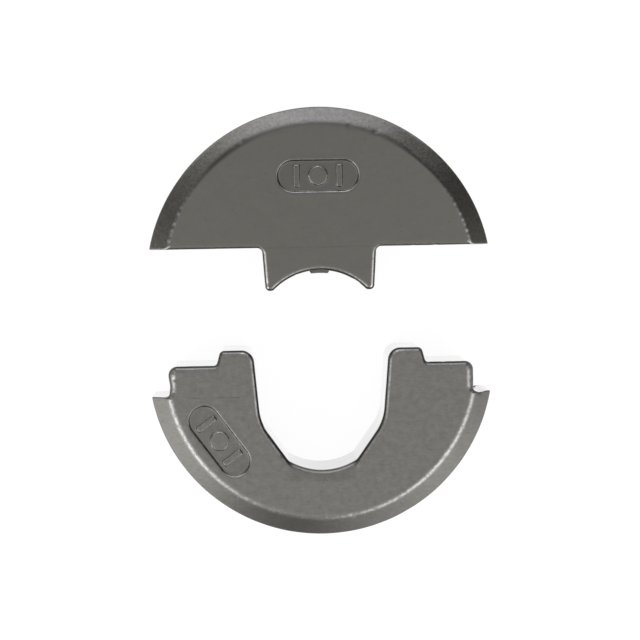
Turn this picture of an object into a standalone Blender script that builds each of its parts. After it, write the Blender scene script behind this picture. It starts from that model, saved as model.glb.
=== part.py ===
"""Ferrule die insert: a punch half and a nest half that close on a ferrule.

Both halves lie on their backs, front faces up, in the open position. The origin is on the
ground, midway between the halves. +X is right, +Y runs from the nest half to the punch half,
and +Z is up. Each half is one casting, modelled about the centre of its own round rim.
"""

import math

import bpy
import bmesh
from mathutils import Matrix, Vector

# Blank that both halves are cut from: a disc with a bevel round each face.
RIM_RADIUS = 0.0350
THICKNESS = 0.0160
RIM_BEVEL_WIDTH = 0.0037
RIM_BEVEL_DEPTH = 0.0021
BEVEL_BLEND_RADIUS = 0.0023
FACE_STOCK = 0.00002
EDGE_ROUND = 0.0008

# The ferrule's nest, the same radius in both halves.
NEST_RADIUS = 0.0130

# Nest half. Its outer ledges lie on the line through the rim's centre.
NEST_DEPTH = 0.0216
NEST_HALF_ANGLE = math.radians(32.0)
NEST_END_RADIUS = 0.0015
FLANK_LEAN = math.radians(35.3)
THROAT_RADIUS = 0.0100
MOUTH_HALF_WIDTH = 0.01343
WALL_LEAN = math.radians(5.0)
MOUTH_CORNER_RADIUS = 0.0026
HORN_RISE = 0.0030
HORN_WIDTH = 0.0067
HORN_LEAN = math.radians(15.0)
HORN_CORNER_RADIUS = 0.0010
HORN_FOOT_RADIUS = 0.0008
LEDGE_CORNER_RADIUS = 0.0018
RIM_LEDGE_WIDTH = 0.0041
RIM_LEDGE_DROP = 0.0062
ARM_FOOT_RADIUS = 0.0006

# Shallow lead-in that slopes down from the front face to the bottom of the nest.
LEAD_IN_HALF_WIDTH = 0.0062
LEAD_IN_REACH = 0.0020
LEAD_IN_SLOPE = math.radians(5.0)
LEAD_IN_CORNER_RADIUS = 0.0020

# Punch half. The tongue enters the mouth of the nest half.
FLAT_HEIGHT = 0.0067
TONGUE_CLEARANCE = 0.0021
TONGUE_LEAN = math.radians(3.7)
TIP_WIDTH = 0.0016
TONGUE_ROOT_RADIUS = 0.0009
TIP_RADIUS = 0.0010
TIP_INNER_RADIUS = 0.0010
WEB_HEIGHT = 0.00465
RIB_WIDTH = 0.0041
RIB_HEIGHT = 0.0006
RIB_LEAN = math.radians(33.0)
RIB_SETBACK = 0.0020

# Marking pocket in each front face, with a plain raised bar, disc and bar.
POCKET_LENGTH = 0.0162
POCKET_WIDTH = 0.0062
POCKET_DEPTH = 0.0005
MARK_RISE = 0.0004
MARK_HEIGHT = 0.0044
BAR_WIDTH = 0.0012
BAR_SPACING = 0.0043
DISC_DIAMETER = 0.0038
PUNCH_POCKET_HEIGHT = 0.0211
NEST_POCKET_RADIUS = 0.0258
NEST_POCKET_TURN = math.radians(53.7)

# Distance between the punch's flat and the tops of the horns, as the halves lie open.
OPEN_GAP = 0.0205

# How finely round stretches are divided, and how far cutters pass what they cut.
RIM_STEPS = 120
NEST_STEP = math.radians(4.0)
CORNER_STEP = math.radians(15.0)
BLEND_SEGMENTS = 4
EDGE_SEGMENTS = 3
OVERRUN = 0.0020
MERGE_DISTANCE = 0.000005

# Dark, bead-blasted cast steel.
PUNCH_COLOR = (0.141, 0.136, 0.122, 1.0)
NEST_COLOR = (0.171, 0.165, 0.152, 1.0)
STEEL_METALLIC = 1.0
STEEL_ROUGHNESS = 0.40


def clear_scene():
    """Remove every object, so that the model starts from an empty scene."""
    for item in list(bpy.data.objects):
        bpy.data.objects.remove(item, do_unlink=True)


def new_collection(name):
    """Make a collection and link it to the scene."""
    collection = bpy.data.collections.new(name)
    bpy.context.scene.collection.children.link(collection)
    return collection


def new_material(name, color):
    """Make a cast steel finish of one colour."""
    material = bpy.data.materials.new(name)
    material.use_nodes = True
    shader = material.node_tree.nodes["Principled BSDF"]
    shader.inputs["Base Color"].default_value = color
    shader.inputs["Metallic"].default_value = STEEL_METALLIC
    shader.inputs["Roughness"].default_value = STEEL_ROUGHNESS
    material.diffuse_color = color
    return material


def add_object(name, mesh, collection, parent=None):
    """Make an object from a mesh, link it and hang it under its parent."""
    item = bpy.data.objects.new(name, mesh)
    collection.objects.link(item)
    item.parent = parent
    return item


def mark_cutter(item):
    """Show a cutter as wires and leave it out of renders."""
    item.hide_render = True
    item.display_type = "WIRE"


def add_boolean(item, operand, operation):
    """Cut, keep or join with an operand by the exact solver."""
    modifier = item.modifiers.new(f"{operation.lower()}_{operand.name}", "BOOLEAN")
    modifier.operation = operation
    modifier.solver = "EXACT"
    modifier.object = operand


def arc(center, radius, start, end, step):
    """Return points along an arc, both ends included, no more than a step apart."""
    count = max(1, math.ceil(abs(end - start) / step))
    angles = (start + (end - start) * i / count for i in range(count + 1))
    return [Vector((center[0] + radius * math.cos(a), center[1] + radius * math.sin(a))) for a in angles]


def rounded(corners):
    """Return a closed outline's points, each corner (point, radius) turned by an arc.

    An arc takes at most half of the shorter side beside it.
    """
    points = []
    for i, (corner, radius) in enumerate(corners):
        before = corners[i - 1][0] - corner
        after = corners[(i + 1) % len(corners)][0] - corner
        turn = math.pi - before.angle(after)
        reach = min(radius * math.tan(turn / 2), before.length / 2, after.length / 2)
        if radius == 0.0 or turn < MERGE_DISTANCE:
            points.append(corner)
            continue
        fitted = reach / math.tan(turn / 2)
        bisector = (before.normalized() + after.normalized()).normalized()
        center = corner + bisector * (fitted / math.cos(turn / 2))
        start = corner + before.normalized() * reach - center
        count = max(1, round(turn / CORNER_STEP))
        side = -1.0 if before.cross(after) > 0 else 1.0
        for k in range(count + 1):
            turned = Matrix.Rotation(side * turn * k / count, 2) @ start
            points.append(center + turned)
    return points


def extruded_outline(name, points, low, high, collection):
    """Make a closed flat-faced solid from a closed outline, between two heights."""
    count = len(points)
    low_ring = [(point.x, point.y, low) for point in points]
    high_ring = [(point.x, point.y, high) for point in points]
    ends = [range(count), range(count, 2 * count)]
    sides = [(i, (i + 1) % count, (i + 1) % count + count, i + count) for i in range(count)]
    mesh = bpy.data.meshes.new(name)
    mesh.from_pydata(low_ring + high_ring, [], ends + sides)
    welded = bmesh.new()
    welded.from_mesh(mesh)
    bmesh.ops.remove_doubles(welded, verts=welded.verts, dist=MERGE_DISTANCE)
    bmesh.ops.recalc_face_normals(welded, faces=welded.faces)
    welded.to_mesh(mesh)
    welded.free()
    return add_object(name, mesh, collection)


def round_edges(item):
    """Round the edges where a solid's walls meet its front and back faces."""
    modifier = item.modifiers.new("rounded_edges", "BEVEL")
    modifier.width = EDGE_ROUND
    modifier.segments = EDGE_SEGMENTS
    modifier.limit_method = "ANGLE"
    modifier.angle_limit = math.radians(60.0)
    modifier.use_clamp_overlap = False


def blank_profile():
    """Return the blank's section as (radius, height) pairs, from the front's centre to the back's.

    The blank's faces keep a little stock, which the outline's flat faces take off.
    """
    top = THICKNESS + FACE_STOCK
    lean = math.atan2(RIM_BEVEL_DEPTH, RIM_BEVEL_WIDTH)
    blend_reach = BEVEL_BLEND_RADIUS * math.tan(lean / 2)
    face_edge = RIM_RADIUS - RIM_BEVEL_WIDTH
    front = [
        (face_edge - blend_reach + p.x, top - BEVEL_BLEND_RADIUS + p.y)
        for p in (
            BEVEL_BLEND_RADIUS * Vector((math.sin(a), math.cos(a)))
            for a in (lean * i / BLEND_SEGMENTS for i in range(BLEND_SEGMENTS + 1))
        )
    ]
    front = [(0.0, top)] + front + [(RIM_RADIUS, top - RIM_BEVEL_DEPTH)]
    return front + [(radius, THICKNESS - height) for radius, height in reversed(front)]


def add_blank(name, material, collection):
    """Make a die half's object: the bevelled disc, turned about its own upright axis."""
    section = blank_profile()
    mesh = bpy.data.meshes.new(name)
    mesh.from_pydata([(r, 0.0, z) for r, z in section], [(i, i + 1) for i in range(len(section) - 1)], [])
    mesh.materials.append(material)
    blank = add_object(name, mesh, collection)
    turn = blank.modifiers.new("turned", "SCREW")
    turn.axis = "Z"
    turn.steps = RIM_STEPS
    turn.render_steps = RIM_STEPS
    turn.use_merge_vertices = True
    turn.merge_threshold = MERGE_DISTANCE
    turn.use_smooth_shade = False
    return blank


def closed_from_right(right):
    """Complete an outline's right-hand corners, from the middle outwards, with their mirror image."""
    left = [(Vector((-point.x, point.y)), radius) for point, radius in right if point.x > MERGE_DISTANCE]
    return right + left[::-1]


def wall_at(y, half_width, level, lean=WALL_LEAN):
    """Return how far a leaning wall is from the middle at a height, given its half width at a level."""
    return half_width + (y - level) * math.tan(lean)


def nest_outline():
    """Return the nest half's outline: the nest, throat, mouth, horns and ledges."""
    center_y = NEST_RADIUS - NEST_DEPTH
    start = math.radians(-90.0)
    seat = arc((0.0, center_y), NEST_RADIUS, start, start + NEST_HALF_ANGLE, NEST_STEP)
    end = seat[-1]
    slope = math.tan(FLANK_LEAN)
    wall_slope = math.tan(WALL_LEAN)
    throat_y = (MOUTH_HALF_WIDTH - end.x + end.y * slope) / (slope - wall_slope)
    throat_x = wall_at(throat_y, MOUTH_HALF_WIDTH, 0.0)
    horn_inner = wall_at(HORN_RISE, MOUTH_HALF_WIDTH, 0.0)
    horn_outer = horn_inner + HORN_WIDTH
    horn_foot = horn_outer + HORN_RISE * math.tan(HORN_LEAN)
    arm_edge = RIM_RADIUS - RIM_LEDGE_WIDTH
    outside = RIM_RADIUS + OVERRUN
    right = [(point, 0.0) for point in seat[:-1]]
    right += [
        (end, NEST_END_RADIUS),
        (Vector((throat_x, throat_y)), THROAT_RADIUS),
        (Vector((horn_inner, HORN_RISE)), MOUTH_CORNER_RADIUS),
        (Vector((horn_outer, HORN_RISE)), HORN_CORNER_RADIUS),
        (Vector((horn_foot, 0.0)), HORN_FOOT_RADIUS),
        (Vector((arm_edge, 0.0)), LEDGE_CORNER_RADIUS),
        (Vector((arm_edge, -RIM_LEDGE_DROP)), ARM_FOOT_RADIUS),
        (Vector((outside, -RIM_LEDGE_DROP)), 0.0),
        (Vector((outside, -outside)), 0.0),
    ]
    return rounded(closed_from_right(right))


def tip_level(root, center_y):
    """Return how high the tongue's tips are, for its half width at the flat and its nest's centre.

    Each tip's foot is TIP_WIDTH wide, so the tongue's nest ends where a line as far inside the
    tongue's leaning side crosses the nest's circle: the higher root of a quadratic in the height.
    """
    slope = math.tan(TONGUE_LEAN)
    inner = wall_at(0.0, root, FLAT_HEIGHT, TONGUE_LEAN) - TIP_WIDTH
    square = 1.0 + slope ** 2
    half = center_y - inner * slope
    rest = inner ** 2 + center_y ** 2 - NEST_RADIUS ** 2
    return (half + math.sqrt(half ** 2 - square * rest)) / square


def punch_outline():
    """Return the punch half's outline: the tongue, its nest and the flat."""
    center_y = FLAT_HEIGHT - WEB_HEIGHT - NEST_RADIUS
    root = wall_at(HORN_RISE, MOUTH_HALF_WIDTH, 0.0) - TONGUE_CLEARANCE
    tip_y = tip_level(root, center_y)
    tip_angle = math.asin((tip_y - center_y) / NEST_RADIUS)
    top = math.radians(90.0)
    seat = arc((0.0, center_y), NEST_RADIUS, top, tip_angle, NEST_STEP)
    tip = wall_at(tip_y, root, FLAT_HEIGHT, TONGUE_LEAN)
    outside = RIM_RADIUS + OVERRUN
    right = [(point, 0.0) for point in seat[:-1]]
    right += [
        (seat[-1], TIP_INNER_RADIUS),
        (Vector((tip, tip_y)), TIP_RADIUS),
        (Vector((root, FLAT_HEIGHT)), TONGUE_ROOT_RADIUS),
        (Vector((outside, FLAT_HEIGHT)), 0.0),
        (Vector((outside, outside)), 0.0),
    ]
    return rounded(closed_from_right(right))


def rib_outline():
    """Return the outline of the rib across the top of the punch's nest, from inside the web."""
    crown = FLAT_HEIGHT - WEB_HEIGHT
    tip = crown - RIB_HEIGHT
    buried = crown + EDGE_ROUND
    half = RIB_WIDTH / 2
    corners = [
        Vector((half, buried)),
        Vector((half, crown)),
        Vector((half - RIB_HEIGHT * math.tan(RIB_LEAN), tip)),
    ]
    return corners + [Vector((-corner.x, corner.y)) for corner in reversed(corners)]


def lead_in_outline():
    """Return the lead-in's outline about the middle of its outer edge, nest towards +Y."""
    inner = LEAD_IN_REACH + NEST_RADIUS
    return rounded(
        [
            (Vector((-LEAD_IN_HALF_WIDTH, 0.0)), LEAD_IN_CORNER_RADIUS),
            (Vector((LEAD_IN_HALF_WIDTH, 0.0)), LEAD_IN_CORNER_RADIUS),
            (Vector((LEAD_IN_HALF_WIDTH, inner)), 0.0),
            (Vector((-LEAD_IN_HALF_WIDTH, inner)), 0.0),
        ]
    )


def pocket_outline():
    """Return the marking pocket's outline: a long slot with round ends."""
    half = POCKET_LENGTH / 2
    radius = POCKET_WIDTH / 2
    return rounded(
        [
            (Vector((half, -radius)), radius),
            (Vector((half, radius)), radius),
            (Vector((-half, radius)), radius),
            (Vector((-half, -radius)), radius),
        ]
    )


def bar_mesh(name):
    """Make an upright bar of the mark, from below the pocket's floor to its top."""
    floor = THICKNESS - POCKET_DEPTH
    mesh = bpy.data.meshes.new(name)
    solid = bmesh.new()
    bmesh.ops.create_cube(solid, size=1.0)
    height = MARK_RISE + EDGE_ROUND
    bmesh.ops.scale(solid, verts=solid.verts, vec=(BAR_WIDTH, MARK_HEIGHT, height))
    bmesh.ops.translate(solid, verts=solid.verts, vec=(0.0, 0.0, floor - EDGE_ROUND + height / 2))
    solid.to_mesh(mesh)
    solid.free()
    return mesh


def disc_mesh(name):
    """Make the round middle of the mark, from below the pocket's floor to its top."""
    floor = THICKNESS - POCKET_DEPTH
    height = MARK_RISE + EDGE_ROUND
    mesh = bpy.data.meshes.new(name)
    solid = bmesh.new()
    bmesh.ops.create_cone(
        solid,
        cap_ends=True,
        segments=32,
        radius1=DISC_DIAMETER / 2,
        radius2=DISC_DIAMETER / 2,
        depth=height,
    )
    bmesh.ops.translate(solid, verts=solid.verts, vec=(0.0, 0.0, floor - EDGE_ROUND + height / 2))
    solid.to_mesh(mesh)
    solid.free()
    return mesh


def add_marking(die, place, turn, cutters):
    """Sink the marking pocket into a die's front face and raise the mark on its floor."""
    top = THICKNESS + OVERRUN
    pocket = extruded_outline(f"{die.name}_pocket", pocket_outline(), THICKNESS - POCKET_DEPTH, top, cutters)
    pocket.parent = die
    pocket.location = (place.x, place.y, 0.0)
    pocket.rotation_euler.z = turn
    mark_cutter(pocket)
    add_boolean(die, pocket, "DIFFERENCE")
    shapes = (
        ("left_bar", bar_mesh, -BAR_SPACING),
        ("disc", disc_mesh, 0.0),
        ("right_bar", bar_mesh, BAR_SPACING),
    )
    for label, shape, offset in shapes:
        name = f"{die.name}_{label}"
        mark = add_object(name, shape(name), cutters, parent=pocket)
        mark.location.x = offset
        mark_cutter(mark)
        add_boolean(die, mark, "UNION")


def add_half(name, material, outline, parts, cutters):
    """Cut a die half out of the turned blank by its outline, with rounded edges."""
    die = add_blank(name, material, parts)
    shape = extruded_outline(f"{name}_outline", outline, 0.0, THICKNESS, cutters)
    shape.parent = die
    round_edges(shape)
    mark_cutter(shape)
    add_boolean(die, shape, "INTERSECT")
    return die


def add_nest_half(parts, cutters):
    """Make the lower half: two stepped arms round the U-shaped mouth and nest."""
    die = add_half("lower_die", new_material("nest_steel", NEST_COLOR), nest_outline(), parts, cutters)
    lead_in = extruded_outline("lead_in", lead_in_outline(), 0.0, THICKNESS, cutters)
    lead_in.parent = die
    lead_in.location = (0.0, -NEST_DEPTH - LEAD_IN_REACH, THICKNESS)
    lead_in.rotation_euler.x = -LEAD_IN_SLOPE
    mark_cutter(lead_in)
    add_boolean(die, lead_in, "DIFFERENCE")
    place = Matrix.Rotation(-NEST_POCKET_TURN, 2) @ Vector((0.0, -NEST_POCKET_RADIUS))
    add_marking(die, place, -NEST_POCKET_TURN, cutters)
    return die


def add_punch_half(parts, cutters):
    """Make the upper half: the half-moon with its tongue and the rib in the tongue's nest."""
    die = add_half("upper_die", new_material("punch_steel", PUNCH_COLOR), punch_outline(), parts, cutters)
    rib = extruded_outline("rib", rib_outline(), RIB_SETBACK, THICKNESS - RIB_SETBACK, cutters)
    rib.parent = die
    mark_cutter(rib)
    add_boolean(die, rib, "UNION")
    add_marking(die, Vector((0.0, PUNCH_POCKET_HEIGHT)), 0.0, cutters)
    return die


def main():
    """Build both halves and lay them open, either side of the origin."""
    clear_scene()
    parts = new_collection("ferrule_die_insert")
    cutters = new_collection("cutters")
    rim_spacing = OPEN_GAP + HORN_RISE - FLAT_HEIGHT
    nest_half = add_nest_half(parts, cutters)
    nest_half.location.y = -rim_spacing / 2
    punch_half = add_punch_half(parts, cutters)
    punch_half.location.y = rim_spacing / 2
    bpy.context.view_layer.update()


main()
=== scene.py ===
"""Looks of the ferrule die insert: two blasted steel castings on a pale floor.

The punch half and the nest half are each one closed skin. A skin is a stack of level rings, which
follow the half's outline from the front face down to the back face, closed by a cap at each end.
The outline is worked out from the half's own sizes. Two sections say how far each ring is drawn
in: one for the round rim, with its bevels, and one for the rounded edges of the walls.

All sizes are in metres. Each half is worked out about the centre of its own round rim.
"""

import logging
import math
from collections.abc import Callable
from dataclasses import dataclass
from enum import Enum

import bpy
import numpy as np
from mathutils import Matrix, Vector
from mathutils.geometry import delaunay_2d_cdt


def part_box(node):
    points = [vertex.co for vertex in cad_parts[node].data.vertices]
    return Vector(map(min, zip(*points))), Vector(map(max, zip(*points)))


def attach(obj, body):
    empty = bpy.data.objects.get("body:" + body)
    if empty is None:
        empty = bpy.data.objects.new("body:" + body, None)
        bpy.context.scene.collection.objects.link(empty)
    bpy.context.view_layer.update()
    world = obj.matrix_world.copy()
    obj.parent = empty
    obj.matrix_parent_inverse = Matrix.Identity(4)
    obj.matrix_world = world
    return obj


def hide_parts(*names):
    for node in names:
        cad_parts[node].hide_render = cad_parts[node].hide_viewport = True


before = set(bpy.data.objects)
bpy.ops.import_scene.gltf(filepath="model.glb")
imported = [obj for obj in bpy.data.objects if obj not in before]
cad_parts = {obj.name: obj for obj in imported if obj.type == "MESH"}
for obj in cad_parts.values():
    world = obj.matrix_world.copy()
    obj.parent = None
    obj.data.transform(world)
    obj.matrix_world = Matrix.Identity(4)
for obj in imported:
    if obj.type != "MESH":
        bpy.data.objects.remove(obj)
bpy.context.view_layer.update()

MILLIMETRE = 0.001
CAD_RIM_RADIUS = 0.0350
FINEST_TURN = math.radians(8.0)
# The merging of a cap's points is in millimetres, and the clearances are shares of its spacing.
MERGE_REACH = 1e-6
EDGE_CLEARANCE = 0.6
GUIDE_CLEARANCE = 0.55
LEVEL_DIGITS = 8
NOISE_MIDDLE = 0.5

log = logging.getLogger("ferrule_die_insert")
Array = np.ndarray
Pair = tuple[float, float]
Output = bpy.types.NodeSocket


def directions(angles: Array) -> Array:
    """Return the unit vector at each angle: its cosine and sine along a new last axis."""
    return np.stack([np.cos(angles), np.sin(angles)], axis=-1)


def left_of(ways: Array) -> Array:
    """Return unit vectors a quarter turn to the left of some unit vectors: (x, y) gives (-y, x)."""
    return np.stack([-ways[..., 1], ways[..., 0]], axis=-1)


def ease(value: Array, low: float, high: float) -> Array:
    """Rise smoothly from 0 at low to 1 at high, as 3t^2 - 2t^3 of the share t of the way."""
    share = np.clip((value - low) / (high - low), 0.0, 1.0)
    return share * share * (3.0 - 2.0 * share)


def blend(start: Array, end: Array, share: Array) -> Array:
    """Return start + (end - start) * share."""
    return start + (end - start) * share


class Cap(Enum):
    """Which way a flat cap faces."""

    UP = 1
    DOWN = -1


@dataclass(frozen=True)
class Corner:
    """A corner of an outline and the radius that rounds it in plan."""

    x: float
    y: float
    radius: float

    @property
    def place(self) -> Array:
        """The corner as a row of x and y."""
        return np.array([self.x, self.y])


class WallPath:
    """A wall in plan, followed from one end to the other as stations.

    Attributes:
        points: the stations of each stretch, without the stretch's last point.
        inward: the unit direction from each station into the steel.
        rounding: how large the wall's edge rounding is at each station.
    """

    def __init__(self, steel_side: float, spacing: float, rounding: float) -> None:
        """Start an empty wall.

        Args:
            steel_side: 1 where the steel lies left of the way along the wall, or -1.
            spacing: the furthest that two stations lie apart.
            rounding: the radius of the wall's edge rounding until it is changed.
        """
        self.steel_side = steel_side
        self.spacing = spacing
        self.edge = rounding
        self.points: list[Array] = []
        self.inward: list[Array] = []
        self.rounding: list[Array] = []

    def _add(self, points: Array, inward: Array) -> None:
        """Keep one stretch's stations."""
        self.points.append(points)
        self.inward.append(inward)
        self.rounding.append(np.full(len(points), self.edge))

    def add_line(self, start: Array, end: Array) -> None:
        """Add a straight stretch: start + (end - start) * i / n for i below n.

        Args:
            start: the stretch's first point.
            end: its last point, which the next stretch begins with.
        """
        length = float(np.linalg.norm(end - start))
        count = max(1, math.ceil(length / self.spacing))
        share = np.arange(count)[:, None] / count
        way = (end - start) / length
        self._add(blend(start, end, share), np.tile(self.steel_side * left_of(way), (count, 1)))

    def add_arc(self, center: Array, radius: float, start: float, turn: float) -> None:
        """Add an arc: center + radius * (cos a, sin a), with a even from start over the turn.

        Args:
            center: the arc's centre.
            radius: the arc's radius.
            start: the angle of the first point seen from the centre.
            turn: the angle that the arc covers, positive to the left.
        """
        swept = abs(turn)
        count = max(2, math.ceil(swept * radius / self.spacing), math.ceil(swept / FINEST_TURN))
        outward = directions(start + turn * np.arange(count) / count)
        self._add(center + radius * outward, -self.steel_side * math.copysign(1.0, turn) * outward)

    def add_corners(self, start: Array, corners: list[Corner], end: Array) -> None:
        """Add straight stretches from a start to an end, with an arc at each corner between.

        Args:
            start: the first point.
            corners: the corners in order, each with the radius of its arc.
            end: the last point, which is left to the next stretch.
        """
        places = [start] + [corner.place for corner in corners] + [end]
        here = start
        for i, corner in enumerate(corners, start=1):
            into = (places[i] - places[i - 1]) / np.linalg.norm(places[i] - places[i - 1])
            out = (places[i + 1] - places[i]) / np.linalg.norm(places[i + 1] - places[i])
            turn = math.atan2(into[0] * out[1] - into[1] * out[0], float(into @ out))
            reach = corner.radius * math.tan(abs(turn) / 2)
            first = places[i] - into * reach
            center = first + math.copysign(corner.radius, turn) * left_of(into)
            self.add_line(here, first)
            self.add_arc(center, corner.radius, math.atan2(*(first - center)[::-1]), turn)
            here = places[i] + out * reach
        self.add_line(here, end)

    def share_rounding(self, rounding: float, share: Callable[[Array], Array]) -> None:
        """Let the edge rounding of some stations go over to another.

        Args:
            rounding: the other rounding.
            share: gives for points in plan how far they take it.
        """
        for i, points in enumerate(self.points):
            self.rounding[i] = blend(self.rounding[i], rounding, share(points))

    def mirrored(self, anchor: Array) -> tuple[Array, Array, Array, int]:
        """Return the whole wall: the path from the middle outwards and its mirror image.

        Args:
            anchor: a point near the path, from which on the rim's circle may cut it.

        Returns:
            The points, the directions into the steel, the edge roundings and the number of
            stations beyond the anchor, in the order that has the steel on the left.
        """
        points, inward = np.vstack(self.points), np.vstack(self.inward)
        rounding = np.concatenate(self.rounding)
        tail = len(points) - int(np.linalg.norm(points - anchor, axis=1).argmin())
        flip = np.array([-1.0, 1.0])
        columns = [(points, points * flip), (inward, inward * flip), (rounding, rounding)]
        if self.steel_side > 0.0:
            whole = [np.concatenate([other[:0:-1], own]) for own, other in columns]
        else:
            whole = [np.concatenate([own[::-1], other[1:]]) for own, other in columns]
        return whole[0], whole[1], whole[2], tail


def touching_center(
    circle: Array, circle_radius: float, place: Array, way: Array, radius: float, inside: bool
) -> Array:
    """Return the centre of the arc that joins a circle to a straight line on the line's left.

    The centre lies the arc's radius from the line, and the difference (inside) or the sum of
    the two radii from the circle's centre. Going s along the line, that is a quadratic in s,
    whose smaller root is the arc within the circle.

    Args:
        circle: the circle's centre.
        circle_radius: its radius.
        place: a point of the line.
        way: the line's unit direction.
        radius: the arc's radius.
        inside: whether the arc lies within the circle.

    Returns:
        The arc's centre.
    """
    apart = circle_radius - radius if inside else circle_radius + radius
    offset = place - circle + radius * left_of(way)
    along = float(offset @ way)
    root = math.sqrt(along * along - float(offset @ offset) + apart * apart)
    step = -along - root if inside else -along + root
    return circle + offset + step * way


def trimmed(rows: Array, radius: Array, count: int, reach: float) -> tuple[Array, Array]:
    """Cut rows of stations where they leave a circle and lay new stations along what is left.

    The first station further from the middle than the circle's radius and the one before it
    give the cut, by the share of the way between them. The new stations lie at even lengths
    from the row's start to a short reach before the cut.

    Args:
        rows: stations, rows by stations by three, of which two are the place in plan.
        radius: the circle's radius for each row.
        count: how many new stations each row gets.
        reach: how far before the cut they end.

    Returns:
        The new stations and the cuts.
    """
    away = np.linalg.norm(rows[..., :2], axis=-1)
    step = np.linalg.norm(np.diff(rows[..., :2], axis=1), axis=-1)
    length = np.concatenate([np.zeros((len(rows), 1)), np.cumsum(step, axis=1)], axis=1)
    each = np.arange(len(rows))
    beyond = np.argmax(away > radius[:, None], axis=1)
    share = (radius - away[each, beyond - 1]) / (away[each, beyond] - away[each, beyond - 1])
    cut = length[each, beyond - 1] + share * step[each, beyond - 1]
    at = np.hstack([(cut - reach)[:, None] * np.linspace(0.0, 1.0, count), cut[:, None]])
    axes = range(rows.shape[2])
    spread = np.array([[np.interp(at[i], length[i], rows[i, :, axis]) for axis in axes] for i in each])
    spread = spread.transpose(0, 2, 1)
    return spread[:, :-1], spread[:, -1]


def bend(start: Array, corner: Array, end: Array, count: int = 6) -> Array:
    """Return the inner points of a curve (1-t)^2 start + 2t(1-t) corner + t^2 end."""
    t = np.linspace(0.0, 1.0, count)[None, 1:-1, None]
    return (1 - t) ** 2 * start[:, None] + 2 * t * (1 - t) * corner[:, None] + t**2 * end[:, None]


@dataclass(frozen=True)
class RimSection:
    """The section of the round rim, from either face to the upright land.

    Attributes:
        radius: the rim's radius at the land.
        bevel_width: how far in from the land the bevel and the face would meet.
        bevel_depth: how far below the face the bevel and the land would meet.
        blend_radius: the radius of the arc between the face and the bevel.
        land_radius: the radius of the arc between the bevel and the land.
        crease_wear_and_sheen: how much rubbing and painted highlight the bend between the face
            and the bevel takes.
        crease_reach: how far the crease's rubbing and painted highlight go on, as a multiple of
            the bevel's lean.
        crease_power: how sharply they rise to their middle.
        edge_wear_and_sheen: how much rubbing and painted highlight the edge between the bevel
            and the land takes.
    """

    radius: float = 0.03498
    bevel_width: float = 0.0037
    bevel_depth: float = 0.0021
    blend_radius: float = 0.0016
    land_radius: float = 0.00035
    crease_wear_and_sheen: float = 0.05
    crease_reach: float = 1.25
    crease_power: float = 1.2
    edge_wear_and_sheen: float = 0.12

    @property
    def lean(self) -> float:
        """The bevel's angle to the face."""
        return math.atan2(self.bevel_depth, self.bevel_width)

    @property
    def land_start(self) -> float:
        """How far below the face the upright land begins."""
        return self.bevel_depth + self.land_radius * math.tan((math.pi / 2 - self.lean) / 2)

    def inset(self, depth: Array) -> Array:
        """Return how far inside the full radius the rim lies, at depths below the face.

        Downwards from the face: an arc that tilts from level to the bevel's lean, the straight
        bevel, an arc that tilts on to upright, and the land, where the inset is zero.
        """
        reach = self.blend_radius * math.tan(self.lean / 2)
        dip = np.clip(1.0 - depth / self.blend_radius, 0.0, 1.0)
        upper = self.bevel_width + reach - self.blend_radius * np.sqrt(1.0 - dip * dip)
        straight = self.bevel_width * (1.0 - depth / self.bevel_depth)
        rest = np.clip(self.land_start - depth, 0.0, self.land_radius)
        lower = self.land_radius - np.sqrt(self.land_radius**2 - rest * rest)
        blend_end = self.blend_radius * (1.0 - math.cos(self.lean))
        arc_start = self.land_start - self.land_radius * math.cos(self.lean)
        within_each = [depth < blend_end, depth < arc_start, depth < self.land_start]
        return np.select(within_each, [upper, straight, lower])

    def wear_sheen_shade(self, depth: Array) -> Array:
        """Return the rim's rubbing and painted highlight at depths below the face: most where
        it bends.

        The crease's share is a half wave of the surface's tilt, raised to a power, and the
        edge's is a bell about the depth where the land begins.
        """
        tilt = np.arccos(np.clip(1.0 - depth / self.blend_radius, 0.0, 1.0))
        bent = np.clip(tilt / (self.crease_reach * self.lean), 0.0, 1.0)
        # Painted highlight, partly rubbing, along the crease and along the edge where the land begins.
        crease = self.crease_wear_and_sheen * np.sin(np.pi * bent) ** self.crease_power
        edge = self.edge_wear_and_sheen * np.exp(-(((depth - self.land_start) / self.land_radius) ** 2))
        return crease + edge


def rounding_inset(depth: Array, radius: Array) -> Array:
    """Return how far a wall is drawn in at depths below a face by its rounded edge.

    The edge is a quarter circle: radius - sqrt(radius^2 - (radius - depth)^2) down to the depth
    of the radius, and zero below.

    Args:
        depth: depths, one to a row.
        radius: the rounding's radius at each station.

    Returns:
        An array of depths by stations.
    """
    rest = np.clip(radius[None, :] - depth[:, None], 0.0, None)
    return radius[None, :] - np.sqrt(radius[None, :] ** 2 - rest * rest)


@dataclass(frozen=True)
class Dent:
    """A smooth hollow, or with a negative depth a swelling, in a wall."""

    x: float
    y: float
    reach: float
    depth: float


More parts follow.
